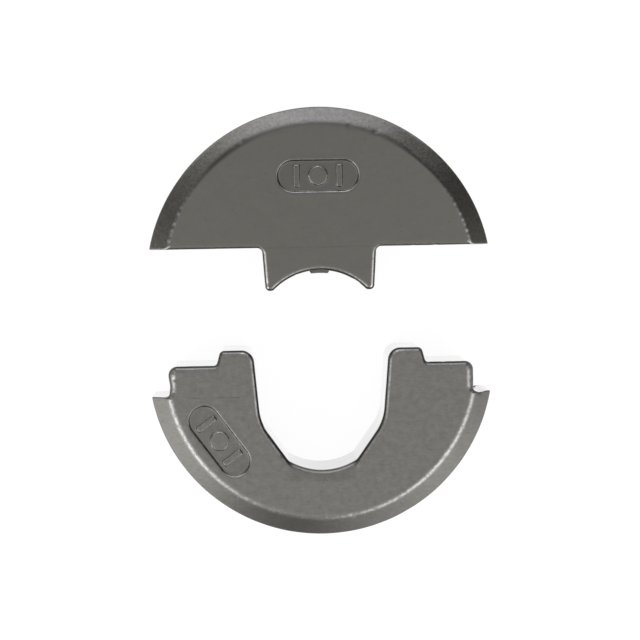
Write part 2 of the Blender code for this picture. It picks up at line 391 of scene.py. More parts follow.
@dataclass(frozen=True)
class Unevenness:
    """The gentle waviness of a cast and blasted surface.

    Attributes:
        seed: the start of the random draws.
        depth: the deepest hollow.
        shortest: the shortest wave.
        longest: the longest wave.
        waves: how many waves are added up.
        gain: how much the waves' mean is raised before it is cut off at -1 and 1.
    """

    seed: int
    depth: float = 0.00005
    shortest: float = 0.0022
    longest: float = 0.0140
    waves: int = 22
    gain: float = 2.2

    def at(self, places: Array) -> Array:
        """Return the hollow's depth at places, from 0 to the deepest.

        It is half the depth times one plus a mean of sines of place times wave number, drawn at
        random in length and direction, raised by the gain and cut off at -1 and 1.
        """
        draws = np.random.default_rng(self.seed)
        lengths = np.exp(draws.uniform(math.log(self.shortest), math.log(self.longest), self.waves))
        ways = draws.normal(size=(3, self.waves))
        ways *= 2.0 * math.pi / (lengths * np.linalg.norm(ways, axis=0))
        phases = draws.uniform(0.0, 2.0 * math.pi, self.waves)
        weights = lengths / lengths.sum()
        swell = np.sin(places @ ways + phases) @ weights
        return self.depth * 0.5 * (1.0 + np.clip(self.gain * swell, -1.0, 1.0))


class Skin:
    """A closed surface gathered from stacks of rings and from caps.

    Attributes:
        vertices: the places, one array to each part.
        wear_sheen_shade: how much rubbing and painted highlight each place takes, from 0 to 1,
        or below 0 how much painted shade.
        sunk: how much painted shade each place takes as part of the sunk marking pocket, from 0
        to 1.
    """

    def __init__(self) -> None:
        """Start an empty surface."""
        self.vertices: list[Array] = []
        self.wear_sheen_shade: list[Array] = []
        self.sunk: list[Array] = []
        self.faces: list[Array] = []
        self.count = 0

    def _keep(self, places: Array, wear_sheen_shade: Array, sunk: float) -> Array:
        """Keep some vertices and return their numbers."""
        numbers = self.count + np.arange(len(places))
        self.vertices.append(places)
        self.wear_sheen_shade.append(wear_sheen_shade)
        self.sunk.append(np.full(len(places), sunk))
        self.count += len(places)
        return numbers

    def add_rings(
        self, rings: Array, wear_sheen_shade: Array, inside_out: bool = False, sunk: float = 0.0
    ) -> Array:
        """Add a stack of rings and the quads between each ring and the next.

        Args:
            rings: places as levels by stations by three, turning left seen from above.
            wear_sheen_shade: the rubbing and painted highlight at each place, or below 0 its
            painted shade, levels by stations.
            inside_out: whether the surface faces the middle of the rings.
            sunk: how much painted shade of the sunk marking pocket the places take.

        Returns:
            The vertices' numbers, levels by stations.
        """
        levels, stations = rings.shape[:2]
        numbers = self._keep(rings.reshape(-1, 3), wear_sheen_shade.ravel(), sunk).reshape(levels, stations)
        here, below = numbers[:-1], numbers[1:]
        corners = [here, below, np.roll(below, -1, axis=1), np.roll(here, -1, axis=1)]
        quads = np.stack(corners, axis=-1).reshape(-1, 4)
        self.faces.append(quads[:, ::-1] if inside_out else quads)
        return numbers

    def add_cap(
        self,
        outer: Array,
        holes: list[Array],
        spacing: float,
        side: Cap,
        guides: Array | None = None,
        sunk: float = 0.0,
    ) -> Array:
        """Close an outline with triangles over a grid of inner points.

        The inner points are rows that are shifted by half a step in turn, kept where they lie
        inside the outline, outside its holes and well clear of both.

        Args:
            outer: the outline's vertices in order.
            holes: the vertices of each loop that stays open.
            spacing: the distance between inner points.
            side: which way the cap faces.
            guides: further inner points in plan.
            sunk: how much painted shade of the sunk marking pocket the cap takes.

        Returns:
            The numbers of the inner points.
        """
        placed = np.vstack(self.vertices)
        loops = [placed[loop, :2] for loop in [outer, *holes]]
        inner = self._grid(loops, spacing)
        if guides is not None:
            clear = distance_to(inner, guides) > GUIDE_CLEARANCE * spacing
            inner = np.vstack([inner[clear], guides])
        height = float(placed[outer, 2].mean())
        rim = np.vstack(loops)
        known = np.concatenate([outer, *holes])
        points = np.vstack([rim, inner]) / MILLIMETRE
        edges = []
        first = 0
        for loop in loops:
            turn = first + np.arange(len(loop))
            edges.append(np.stack([turn, np.roll(turn, -1)], axis=1))
            first += len(loop)
        sides = np.vstack(edges).tolist()
        result = delaunay_2d_cdt(points.tolist(), sides, [], 1, MERGE_REACH, True)
        corners = np.array(result[2])
        origin = np.array([sources[0] for sources in result[3]])
        triangles = origin[corners]
        middles = points[triangles].mean(axis=1)
        keep = within(middles, loops[0] / MILLIMETRE)
        for loop in loops[1:]:
            keep &= ~within(middles, loop / MILLIMETRE)
        triangles = triangles[keep]
        a, b, c = (points[triangles[:, i]] for i in range(3))
        turning = (b - a)[:, 0] * (c - a)[:, 1] - (b - a)[:, 1] * (c - a)[:, 0]
        wrong = turning * side.value < 0.0
        triangles[wrong] = triangles[wrong][:, ::-1]
        flat = np.column_stack([inner, np.full(len(inner), height)])
        fresh = self._keep(flat, np.zeros(len(inner)), sunk)
        self.faces.append(np.concatenate([known, fresh])[triangles])
        return fresh

    @staticmethod
    def _grid(loops: list[Array], spacing: float) -> Array:
        """Return staggered rows of points inside the first loop, clear of all the loops."""
        low, high = loops[0].min(axis=0), loops[0].max(axis=0)
        rows = np.arange(low[1], high[1], spacing * math.sqrt(0.75))
        columns = np.arange(low[0], high[0], spacing)
        x = columns[None, :] + (np.arange(len(rows)) % 2)[:, None] * spacing / 2
        grid = np.column_stack([x.ravel(), np.repeat(rows, len(columns))])
        keep = within(grid, loops[0])
        for loop in loops[1:]:
            keep &= ~within(grid, loop)
        grid = grid[keep]
        return grid[distance_to(grid, np.vstack(loops)) > EDGE_CLEARANCE * spacing]

    def to_object(self, name: str, shift: Array) -> bpy.types.Object:
        """Make the mesh and its object, with the edges' rubbing, painted highlight and painted
        shade and the sunk pocket's painted shade as attributes.

        Args:
            name: the object's name.
            shift: the vector from the half's own centre to its place in the frame.

        Returns:
            The object, which stands at the origin with its place in its mesh.
        """
        mesh = bpy.data.meshes.new(name)
        places = np.vstack(self.vertices) + shift
        sizes = np.concatenate([np.full(len(faces), faces.shape[1]) for faces in self.faces])
        corners = np.concatenate([faces.ravel() for faces in self.faces])
        mesh.vertices.add(len(places))
        mesh.vertices.foreach_set("co", places.ravel())
        mesh.loops.add(len(corners))
        mesh.loops.foreach_set("vertex_index", corners)
        mesh.polygons.add(len(sizes))
        mesh.polygons.foreach_set("loop_start", np.concatenate([[0], np.cumsum(sizes)[:-1]]))
        mesh.polygons.foreach_set("use_smooth", np.ones(len(sizes), dtype=bool))
        mesh.update(calc_edges=True)
        for label, values in (("wear_sheen_shade", self.wear_sheen_shade), ("sunk", self.sunk)):
            attribute = mesh.attributes.new(label, "FLOAT", "POINT")
            attribute.data.foreach_set("value", np.concatenate(values).astype(np.float32))
        piece = bpy.data.objects.new(name, mesh)
        bpy.context.scene.collection.objects.link(piece)
        return piece


def within(points: Array, loop: Array) -> Array:
    """Tell which points lie inside a closed loop.

    A ray from each point to the right crosses the loop's sides an odd number of times there.
    """
    after = np.roll(loop, -1, axis=0)
    x, y = points[:, :1], points[:, 1:]
    spans = (loop[:, 1] > y) != (after[:, 1] > y)
    rise = after[:, 1] - loop[:, 1]
    run = (after[:, 0] - loop[:, 0]) / np.where(rise == 0.0, 1.0, rise)
    crossing = loop[:, 0] + (y - loop[:, 1]) * run
    return (spans & (x < crossing)).sum(axis=1) % 2 == 1


def distance_to(points: Array, others: Array) -> Array:
    """Return each point's distance to the nearest of some other points."""
    squares = (points[:, :1] - others[:, 0]) ** 2 + (points[:, 1:] - others[:, 1]) ** 2
    return np.sqrt(squares.min(axis=1))


@dataclass(frozen=True)
class Mark:
    """A raised shape on the floor of a marking pocket, a slot with round ends or a disc.

    Attributes:
        offset: where it stands along the pocket.
        width: its size along the pocket.
        height: its size across the pocket.
        corner: the radius of its corners in plan.
        stations: how many stations lie along each corner's arc.
    """

    offset: float
    width: float
    height: float
    corner: float
    stations: int = 9

    def ring(self, grown: Array) -> Array:
        """Return the mark's outline, grown outwards by each of some amounts.

        Each corner is an arc of the corner's radius plus the growth, about the same centre.
        """
        angles = np.linspace(0.0, math.pi / 2, self.stations)
        right, top = self.width / 2 - self.corner, self.height / 2 - self.corner
        centers = np.array([[right, top], [-right, top], [-right, -top], [right, -top]])
        turns = directions(angles[None, :] + np.arange(4)[:, None] * math.pi / 2)
        radius = self.corner + grown[:, None, None, None]
        places = centers[:, None, :] + radius * turns
        return places.reshape(len(grown), -1, 2) + np.array([self.offset, 0.0])


@dataclass(frozen=True)
class MarkingPocket:
    """The sunk slot in a front face, with a plain raised bar, disc and bar on its floor.

    Attributes:
        x: the pocket's middle in the half's plan.
        y: the same, along the other axis.
        turn: the angle of its long axis to +X.
        lip: the radius of its rounded lip.
        foot: the radius of the hollow where its wall meets its floor.
        draft: how far its wall is drawn in from the lip to the foot.
        rise: how far the marks stand up from its floor.
        disc: the round mark's diameter.
        mark_round: the radius that rounds the marks' edges and their feet.
        lip_wear_and_sheen: how much rubbing and painted highlight the lip takes in the middle of
            its bend.
        mark_wear_and_sheen: the same for the marks' edges.
        spacing: the distance between the inner points of its floor.
        pocket_wall_shade: how much of the pocket's painted shade its wall takes, where its floor
            takes it in full.
        mark_side_shade: how much the marks' sides take.
        mark_top_shade: how much the marks' tops take.
        levels: how many rings make one rounding.
        side_stations: how many stations lie along each straight side.
        end_stations: how many lie round each end.
    """

    x: float
    y: float
    turn: float
    length: float = 0.0163
    width: float = 0.00625
    depth: float = 0.0005
    lip: float = 0.00030
    foot: float = 0.00018
    draft: float = 0.00006
    rise: float = 0.0004
    bar_width: float = 0.0012
    bar_height: float = 0.0044
    disc: float = 0.0038
    bar_spacing: float = 0.0043
    mark_round: float = 0.00020
    lip_wear_and_sheen: float = 0.6
    mark_wear_and_sheen: float = 0.7
    spacing: float = 0.0004
    pocket_wall_shade: float = 0.5
    mark_side_shade: float = 0.8
    mark_top_shade: float = 0.2
    levels: int = 6
    side_stations: int = 24
    end_stations: int = 28

    def ring(self, grown: Array) -> Array:
        """Return the slot's outline, grown outwards by each of some amounts.

        It is two half circles about the ends of the middle line, joined by straight sides.
        """
        half = (self.length - self.width) / 2
        sides = np.linspace(-half, half, self.side_stations, endpoint=False)
        turns = np.linspace(0.0, math.pi, self.end_stations, endpoint=False)
        radius = self.width / 2 + grown[:, None]
        right_way, left_way = directions(turns - math.pi / 2), directions(turns + math.pi / 2)
        one = np.ones_like(radius)
        lower = np.stack([sides[None, :] * one, -radius * np.ones_like(sides)], axis=-1)
        right = radius[..., None] * right_way + np.array([half, 0.0])
        upper = np.stack([-sides[None, :] * one, radius * np.ones_like(sides)], axis=-1)
        left = radius[..., None] * left_way - np.array([half, 0.0])
        return np.concatenate([lower, right, upper, left], axis=1)

    def place(self, rings: Array, depth: Array, face: float) -> Array:
        """Turn and move rings from the pocket's own plan to the half's, each at its depth."""
        cosine, sine = math.cos(self.turn), math.sin(self.turn)
        x = self.x + rings[..., 0] * cosine - rings[..., 1] * sine
        y = self.y + rings[..., 0] * sine + rings[..., 1] * cosine
        z = np.broadcast_to((face - depth)[:, None], x.shape)
        return np.stack([x, y, z], axis=-1)

    def marks(self) -> list[Mark]:
        """Return the bar, the disc and the bar that stand on the floor."""
        left, right = (
            Mark(offset, self.bar_width, self.bar_height, self.bar_width / 4)
            for offset in (-self.bar_spacing, self.bar_spacing)
        )
        return [left, Mark(0.0, self.disc, self.disc, self.disc / 2), right]

    def build(self, skin: Skin, face: float) -> Array:
        """Add the pocket to a half's skin and return its lip, for the face's cap to leave open.

        The wall goes down in a rounded lip, a slightly drawn-in side and a hollow foot. Each
        mark comes up from the floor in the same way, with the roundings swapped.

        Args:
            skin: the half's skin.
            face: the height of the front face.

        Returns:
            The numbers of the lip's vertices, turning left.
        """
        over = np.radians(np.linspace(0.0, 90.0, self.levels))
        slow, quick = 1.0 - np.cos(over), 1.0 - np.sin(over)
        bent = np.concatenate([np.sin(2 * over), np.zeros(self.levels)])[:, None]
        grown = np.concatenate([self.lip * quick, -self.draft - self.foot * slow])
        depth = np.concatenate([self.lip * slow, self.depth - self.foot * quick])
        rings = self.place(self.ring(grown), depth, face)
        # Painted highlight, partly rubbing, on the bend of the lip.
        wear_sheen_shade = np.repeat(self.lip_wear_and_sheen * bent, rings.shape[1], axis=1)
        # The pocket's wall takes part of its painted shade.
        wall = skin.add_rings(rings, wear_sheen_shade, inside_out=True, sunk=self.pocket_wall_shade)
        top = self.depth - self.rise
        grown = self.mark_round * np.concatenate([-quick, quick[::-1]])
        edge, foot = top + self.mark_round * slow, self.depth - self.mark_round * slow[::-1]
        depth = np.concatenate([edge, foot])
        feet = []
        for mark in self.marks():
            raised = self.place(mark.ring(grown), depth, face)
            # Painted highlight, partly rubbing, on the bend of the marks' edges.
            worn_sheen_shade = np.repeat(self.mark_wear_and_sheen * bent, raised.shape[1], axis=1)
            # The marks' sides and tops, and the floor in full, take the pocket's painted shade.
            sides = skin.add_rings(raised, worn_sheen_shade, sunk=self.mark_side_shade)
            skin.add_cap(sides[0], [], self.spacing, Cap.UP, sunk=self.mark_top_shade)
            feet.append(sides[-1])
        skin.add_cap(wall[-1], feet, self.spacing, Cap.UP, sunk=1.0)
        return wall[0]


@dataclass
class DieHalf:
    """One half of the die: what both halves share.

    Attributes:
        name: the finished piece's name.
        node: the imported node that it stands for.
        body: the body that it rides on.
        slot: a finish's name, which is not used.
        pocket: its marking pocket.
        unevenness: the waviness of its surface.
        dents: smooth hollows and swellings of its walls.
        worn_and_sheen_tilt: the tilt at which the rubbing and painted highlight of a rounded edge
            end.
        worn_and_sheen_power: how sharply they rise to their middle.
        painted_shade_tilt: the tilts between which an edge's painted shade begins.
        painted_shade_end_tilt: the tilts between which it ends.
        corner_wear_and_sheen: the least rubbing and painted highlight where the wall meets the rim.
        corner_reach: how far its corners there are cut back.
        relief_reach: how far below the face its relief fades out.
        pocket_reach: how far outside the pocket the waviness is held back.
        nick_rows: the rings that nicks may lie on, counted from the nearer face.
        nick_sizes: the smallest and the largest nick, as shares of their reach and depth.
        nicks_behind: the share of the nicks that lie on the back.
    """

    name: str
    node: str
    body: str
    slot: str
    pocket: MarkingPocket
    unevenness: Unevenness
    dents: tuple[Dent, ...] = ()
    thickness: float = 0.0160
    rim: RimSection = RimSection()
    edge_round: float = 0.00065
    edge_wear_and_sheen: float = 0.12
    worn_and_sheen_tilt: float = math.radians(46.0)
    worn_and_sheen_power: float = 1.3
    painted_shade_tilt: Pair = (math.radians(24.0), math.radians(42.0))
    corner_wear_and_sheen: float = 0.0
    painted_shade_end_tilt: Pair = (math.radians(72.0), math.radians(88.0))
    corner_reach: float = 0.00035
    station_spacing: float = 0.00035
    rim_stations: int = 270
    tail_stations: int = 64
    cap_spacing: float = 0.0005
    largest_round: float = 0.0020
    relief_reach: float = 0.0060
    pocket_reach: float = 0.0012
    round_levels: int = 19
    land_levels: int = 6
    middle_levels: int = 7
    nicks: int = 46
    nick_rows: tuple[int, int] = (3, 13)
    nick_sizes: Pair = (0.45, 1.0)
    nicks_behind: float = 0.4
    nick_reach: float = 0.00045
    nick_depth: float = 0.00009

    @property
    def center_y(self) -> float:
        """The height of the rim's centre in the frame."""
        raise NotImplementedError

    @property
    def rim_turn(self) -> float:
        """The angle that the rim's arc begins from, short of the wall's share."""
        raise NotImplementedError

    def wall(self) -> tuple[Array, Array, Array, int]:
        """Return the wall's stations in the ring's order and how many of them each end holds.

        The wall runs from beyond the rim at one side to beyond it at the other. An end is the
        stretch that the rim's circle cuts.

        Returns:
            The places in plan, the unit directions into the steel, the edge roundings and the
            number of stations in each end.
        """
        raise NotImplementedError

    def relief(self, places: Array) -> Array:
        """Return how far the front face is sunk at some places in plan."""
        return np.zeros(len(places))

    def rubbed_and_sheen(self, points: Array) -> Array:
        """Return how bright rubbing and painted highlight make the wall's edge at some stations."""
        return np.full(len(points), self.edge_wear_and_sheen)

    def painted_edge_shade(self, points: Array) -> Array:
        """Return how much painted shade the steep part of the wall's edge takes at some stations."""
        return np.ones(len(points))

    def painted_shade_delay(self, points: Array) -> Array:
        """Return how much steeper than elsewhere the edge is where its painted shade begins."""
        return np.zeros(len(points))

    def rim_wear_sheen_shade_share(self, angles: Array) -> Array:
        """Return how much of its rubbing and painted highlight the rim's bend has at some angles."""
        return np.ones_like(angles)

    def fullness(self, depth: Array, angles: Array) -> Array:
        """Return how far the rim stands out beyond its usual section, depths by angles."""
        return np.zeros_like(angles)

    def shape_rings(self, rings: Array, depth: Array) -> None:
        """Change the finished rings where a half has a feature of its own."""

    def levels(self) -> Array:
        """Return the depths of the rings below the front face, from 0 to the thickness.

        They lie close together where the edges round over, where the bevel meets the land and
        at the rib's ends, and far apart between. The back repeats the front.
        """
        over = np.radians(np.linspace(90.0, 0.0, self.round_levels))
        rounded = self.largest_round * (1.0 - np.sin(over))
        tilt = np.linspace(self.rim.lean, math.pi / 2, self.land_levels)
        land = self.rim.land_start - self.rim.land_radius * np.cos(tilt)
        middle = np.linspace(self.rim.land_start, self.thickness / 2, self.middle_levels)[1:]
        depths = np.concatenate([rounded, self.step_levels(), land, middle])
        front = np.unique(np.round(depths, LEVEL_DIGITS))
        return np.concatenate([front, self.thickness - front[-2::-1]])

    def step_levels(self) -> Array:
        """Return further depths that a half's own feature needs."""
        return np.empty(0)

    def outline(self, depth: Array) -> tuple[Array, Array, Array]:
        """Return the rings in plan at some depths below the nearer face, with their rubbing,
        painted highlight and painted shade.

        The rim's arc runs at the rim's radius less its inset. The wall's stations move into
        the steel by the inset of their rounded edge. Both ends of the wall are cut where they
        leave the rim's circle, and a quadratic curve over a short reach, from the arc through
        the cut to the wall, takes the point off each of those corners.

        Args:
            depth: the depth below the nearer face, one for each ring.

        Returns:
            Places as levels by stations by two, the rubbing and painted highlight (below 0 the
            painted shade) and the directions into the steel.
        """
        points, inward, rounding, tail = self.wall()
        drawn = rounding_inset(depth, rounding)
        tilt = np.arccos(np.clip(1.0 - depth[:, None] / rounding[None, :], 0.0, 1.0))
        # Painted highlight, partly rubbing: it peaks half way up the tilt at which it ends.
        bent = np.sin(np.pi * np.clip(tilt / self.worn_and_sheen_tilt, 0.0, 1.0)) ** self.worn_and_sheen_power
        # Painted shade: a dark band over the steeper part of the rounded edge, gone again near
        # upright.
        steep = ease(tilt - self.painted_shade_delay(points), *self.painted_shade_tilt)
        steep = steep * (1.0 - ease(tilt, *self.painted_shade_end_tilt))
        worn_sheen_shade = bent * self.rubbed_and_sheen(points) - steep * self.painted_edge_shade(points)
        walls = np.dstack([points[None] + drawn[..., None] * inward[None], worn_sheen_shade])
        radius = self.rim.radius - self.rim.inset(depth)
        (first, first_cut), (last, last_cut) = (
            trimmed(end, radius, self.tail_stations, self.corner_reach)
            for end in (walls[:, :tail][:, ::-1], walls[:, -tail:])
        )
        # Painted highlight, partly rubbing, at least this strong where the wall meets the rim.
        for cut in (first_cut, last_cut):
            cut[:, 2] = np.maximum(cut[:, 2], self.corner_wear_and_sheen)
        lean = np.arcsin(np.abs(last_cut[:, 1]) / radius) + self.corner_reach / radius
        share = np.linspace(0.0, 1.0, self.rim_stations)[None, :]
        angles = blend(lean[:, None], (math.pi - lean)[:, None], share) + self.rim_turn
        # Painted highlight, partly rubbing, along the rim's bend, and painted shade on the punch's
        # shoulders.
        rim_wear_sheen_shade = self.rim.wear_sheen_shade(depth)[:, None] * self.rim_wear_sheen_shade_share(angles)
        full = radius[:, None] + self.fullness(depth, angles)
        arc = np.dstack([full[..., None] * directions(angles), rim_wear_sheen_shade])
        rings = np.concatenate(
            [
                arc,
                bend(arc[:, -1], first_cut, first[:, -1]),
                first[:, ::-1],
                walls[:, tail:-tail],
                last,
                bend(last[:, -1], last_cut, arc[:, 0]),
            ],
            axis=1,
        )
        plan, wear_sheen_shade = rings[..., :2], rings[..., 2]
        ahead = np.roll(plan, -1, axis=1) - np.roll(plan, 1, axis=1)
        ahead /= np.linalg.norm(ahead, axis=-1, keepdims=True)
        return plan, wear_sheen_shade, left_of(ahead)

    def build(self) -> bpy.types.Object:
        """Build the half's skin and return its object."""
        depth = self.levels()
        nearer = np.minimum(depth, self.thickness - depth)
        plan, wear_sheen_shade, inward = self.outline(nearer)
        plan = plan + inward * self._dent_depth(plan)[..., None]
        heights = np.broadcast_to((self.thickness - depth)[:, None], plan.shape[:2])
        rings = np.dstack([plan, heights])
        self.shape_rings(rings, depth)
        self._roughen(rings, inward, nearer)
        sunk = self.relief(rings[..., :2].reshape(-1, 2)).reshape(rings.shape[:2])
        rings[..., 2] -= sunk * (1.0 - ease(depth, 0.0, self.relief_reach))[:, None]
        skin = Skin()
        numbers = skin.add_rings(rings, wear_sheen_shade)
        lip = self.pocket.build(skin, self.thickness)
        front = skin.add_cap(numbers[0], [lip], self.cap_spacing, Cap.UP, self.guides())
        back = skin.add_cap(numbers[-1][::-1], [], self.cap_spacing, Cap.DOWN)
        self._finish_face(skin, front, back)
        piece = skin.to_object(self.name, np.array([0.0, self.center_y, 0.0]))
        piece.data.validate()
        return piece

    def guides(self) -> Array | None:
        """Return further points for the front face's cap, or None."""
        return None

    def _dent_depth(self, plan: Array) -> Array:
        """Return how far the dents push each place in: the sum of depth * exp(-(r / reach)^2)."""
        pushed = np.zeros(plan.shape[:-1])
        for dent in self.dents:
            apart = (plan[..., 0] - dent.x) ** 2 + (plan[..., 1] - dent.y) ** 2
            pushed += dent.depth * np.exp(-apart / dent.reach**2)
        return pushed

    def _roughen(self, rings: Array, inward: Array, nearer: Array) -> None:
        """Sink the rings' places by the waviness and by small nicks along the rounded edges.

        A nick is a round hollow, depth * exp(-(r / reach)^2) deep, about a random place of
        the rounded edge. Both go into the steel and downwards in the share that the edge's
        tilt gives.
        """
        level = 1.0 - ease(nearer, 0.0, self.edge_round)
        hollow = self.unevenness.at(rings.reshape(-1, 3)).reshape(rings.shape[:2])
        draws = np.random.default_rng(self.unevenness.seed + 1)
        rows = draws.integers(*self.nick_rows, self.nicks)
        columns = draws.integers(0, rings.shape[1], self.nicks)
        sizes = draws.uniform(*self.nick_sizes, self.nicks)
        backs = draws.random(self.nicks) < self.nicks_behind
        rows = np.where(backs, len(rings) - 1 - rows, rows)
        flat = rings.reshape(-1, 3)
        for row, column, size in zip(rows, columns, sizes):
            apart = ((flat - rings[row, column]) ** 2).sum(axis=1)
            nick = self.nick_depth * size * np.exp(-apart / (self.nick_reach * size) ** 2)
            hollow += nick.reshape(hollow.shape)
        rings[..., :2] += inward * (hollow * (1.0 - level[:, None]))[..., None]
        down = np.where(rings[..., 2] > self.thickness / 2, -1.0, 1.0)
        rings[..., 2] += down * hollow * level[:, None]

    def _finish_face(self, skin: Skin, front: Array, back: Array) -> None:
        """Sink the inner points of both faces by the waviness, and the front by its relief."""
        start = 0
        for places in skin.vertices:
            stop = start + len(places)
            for numbers, down in ((front, -1.0), (back, 1.0)):
                inside = numbers[(numbers >= start) & (numbers < stop)] - start
                if len(inside) == 0:
                    continue
                chosen = places[inside]
                chosen[:, 2] = self.thickness if down < 0 else 0.0
                sunk = self.unevenness.at(chosen)
                if down < 0:
                    clear = ease(self._pocket_distance(chosen), 0.0, self.pocket_reach)
                    sunk = sunk * clear + self.relief(chosen[:, :2])
                chosen[:, 2] += down * sunk
                places[inside] = chosen
            start = stop

    def _pocket_distance(self, places: Array) -> Array:
        """Return how far outside the pocket's outline some places lie."""
        loop = self.pocket.place(self.pocket.ring(np.zeros(1)), np.zeros(1), 0.0)[0, :, :2]
        return distance_to(places[:, :2], loop)

    def dress(self, piece: bpy.types.Object, finish: "SteelFinish") -> None:
        """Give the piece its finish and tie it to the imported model."""
        piece.data.materials.append(finish.material())
        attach(piece, self.body)
        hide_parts(self.node)


@dataclass
class PunchHalf(DieHalf):
    """The upper half: a half-moon whose tongue has the upper side of the ferrule's nest.

    Attributes:
        flat: how far above the rim's centre the flat lies.
        web: the steel between the flat and the top of the nest.
        tongue_band: how far below the flat the tongue's looks are full, and where they begin.
        side_band: how far inside the tongue's side its rubbing and painted highlight begin, and
        where in full.
        end_band: the same for the flat's ends, from the rim.
        rubbed_and_sheen_ends: how far from each end of the rim its rubbing and painted highlight
            hold, and where they end.
        tooth_level: the mean of the rubbing and painted highlight there.
        tooth_waves: the strength, the rate and the phase of the waves that break it up.
        shoulders: where the rim's two shoulders of painted shade have their middles.
        top_rim: the gentler section that the rim's top takes.
        rib_drop: how much lower the rib is at its rounded ends.
        rib_lead: how far before the rib's end a ring lies, in its roundings.
    """

    flat: float = 0.0067
    nest_radius: float = 0.0130
    web: float = 0.00465
    tongue_length: float = 0.0087
    tongue_half_width: float = 0.01159
    wall_lean: float = math.radians(3.7)
    root_radius: float = 0.0010
    tip_radius: float = 0.00095
    rib_width: float = 0.0041
    rib_height: float = 0.0006
    rib_lean: float = math.radians(33.0)
    rib_setback: float = 0.0020
    rib_round: float = 0.00012
    rib_drop: float = 0.25
    rib_lead: float = 0.2
    rib_levels: int = 4
    tongue_round: float = 0.0009
    tongue_band: Pair = (0.0012, 0.0002)
    side_band: Pair = (0.0016, 0.0008)
    end_band: Pair = (0.0052, 0.0036)
    tooth_level: float = 0.60
    tooth_waves: tuple[tuple[float, float, float], ...] = ((0.30, 167.0, 0.0), (0.25, 103.0, 1.0))
    rim: RimSection = RimSection(crease_wear_and_sheen=0.90)
    corner_wear_and_sheen: float = 1.0
    top_share: float = 0.05
    rubbed_and_sheen_ends: Pair = (math.radians(20.0), math.radians(50.0))
    shoulders: Pair = (math.radians(52.0), math.radians(127.0))
    shoulder_shade: Pair = (0.35, 0.8)
    shoulder_spread: float = math.radians(13.0)
    top_rim: RimSection = RimSection(bevel_width=0.0032, bevel_depth=0.001816, blend_radius=0.0036)
    top_starts: Pair = (math.radians(48.0), math.radians(66.0))
    top_ends: Pair = (math.radians(120.0), math.radians(150.0))
    side_wear_and_sheen: float = 1.0
    nest_wear_and_sheen: float = 0.45
    end_wear_and_sheen: float = 0.80

    @property
    def center_y(self) -> float:
        """The height of the rim's centre in the frame: the top of the box less the radius."""
        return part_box(self.node)[1].y - CAD_RIM_RADIUS

    @property
    def rim_turn(self) -> float:
        """The rim's arc begins on the right."""
        return 0.0

    @property
    def nest_center(self) -> Array:
        """The centre of the ferrule's nest."""
        return np.array([0.0, self.flat - self.web - self.nest_radius])

    def wall(self) -> tuple[Array, Array, Array, int]:
        """Return the stations from the left flat round the tongue to the right flat.

        The right half is the nest's arc, the rounded tip, the tongue's leaning side and the
        root's arc, and the left half is its mirror image.
        """
        path = WallPath(1.0, self.station_spacing, self.edge_round)
        tip_y = self.flat - self.tongue_length
        rise = tip_y - self.nest_center[1]
        meets = np.array([math.sqrt(self.nest_radius**2 - rise**2), tip_y])
        tip = touching_center(
            self.nest_center, self.nest_radius, meets, np.array([1.0, 0.0]), self.tip_radius, False
        )
        toward = tip - self.nest_center
        end = math.atan2(toward[1], toward[0])
        path.add_arc(self.nest_center, self.nest_radius, math.pi / 2, end - math.pi / 2)
        path.add_arc(tip, self.tip_radius, end - math.pi, math.pi / 2 - end)
        outer = self.tongue_half_width - self.tongue_length * math.tan(self.wall_lean)
        root = np.array([self.tongue_half_width + 2.0 * self.root_radius, self.flat])
        corners = [
            Corner(outer, tip_y, self.tip_radius),
            Corner(self.tongue_half_width, self.flat, self.root_radius),
        ]
        path.add_corners(np.array([tip[0], tip_y]), corners, root)
        path.add_line(root, np.array([self.rim.radius, self.flat]))
        path.share_rounding(self.tongue_round, self._tongue_share)
        return path.mirrored(root)

    def _tongue_share(self, points: Array) -> Array:
        """Return how far each place belongs to the tongue, below the flat."""
        return 1.0 - ease(points[:, 1], *(self.flat - below for below in self.tongue_band))

    def rubbed_and_sheen(self, points: Array) -> Array:
        """Return the rubbing and painted highlight: most on the tongue's sides, then the flat's
        ends, then the nest.
        """
        side = np.abs(points[:, 0])
        beside = ease(side, *(self.tongue_half_width - reach for reach in self.side_band))
        tongue = self._tongue_share(points)
        nest = tongue * (1.0 - beside)
        end = ease(side, *(self.rim.radius - reach for reach in self.end_band))
        rubbed_and_sheen = self.edge_wear_and_sheen + self.side_wear_and_sheen * beside * tongue
        return rubbed_and_sheen + self.nest_wear_and_sheen * nest + self.end_wear_and_sheen * end

    def painted_edge_shade(self, points: Array) -> Array:
        """Return the painted shade: only the tongue's edges take it."""
        return self._tongue_share(points)

    def rim_wear_sheen_shade_share(self, angles: Array) -> Array:
        """Return the share: rubbing and painted highlight at both ends of the rim, and painted
        shade (below 0) on its shoulders.

        The painted shade falls off in a bell shape from the middle of each shoulder.
        """
        near_end = np.minimum(angles, math.pi - angles)
        teeth = self.tooth_level
        for strength, rate, phase in self.tooth_waves:
            teeth = teeth + strength * np.sin(rate * angles + phase)
        away = ease(near_end, *self.rubbed_and_sheen_ends)
        # Painted highlight, partly rubbing, broken into teeth near the rim's ends.
        share = self.top_share + (teeth - self.top_share) * (1.0 - away)
        # Painted shade on the rim's two shoulders.
        for middle, depth in zip(self.shoulders, self.shoulder_shade):
            share = share - depth * np.exp(-(((angles - middle) / self.shoulder_spread) ** 2))
        return share

    def fullness(self, depth: Array, angles: Array) -> Array:
        """Return how far the rim's top stands out, where the bevel sets in more gently."""
        share = ease(angles, *self.top_starts) * (1.0 - ease(angles, *self.top_ends))
        return (self.rim.inset(depth) - self.top_rim.inset(depth))[:, None] * share

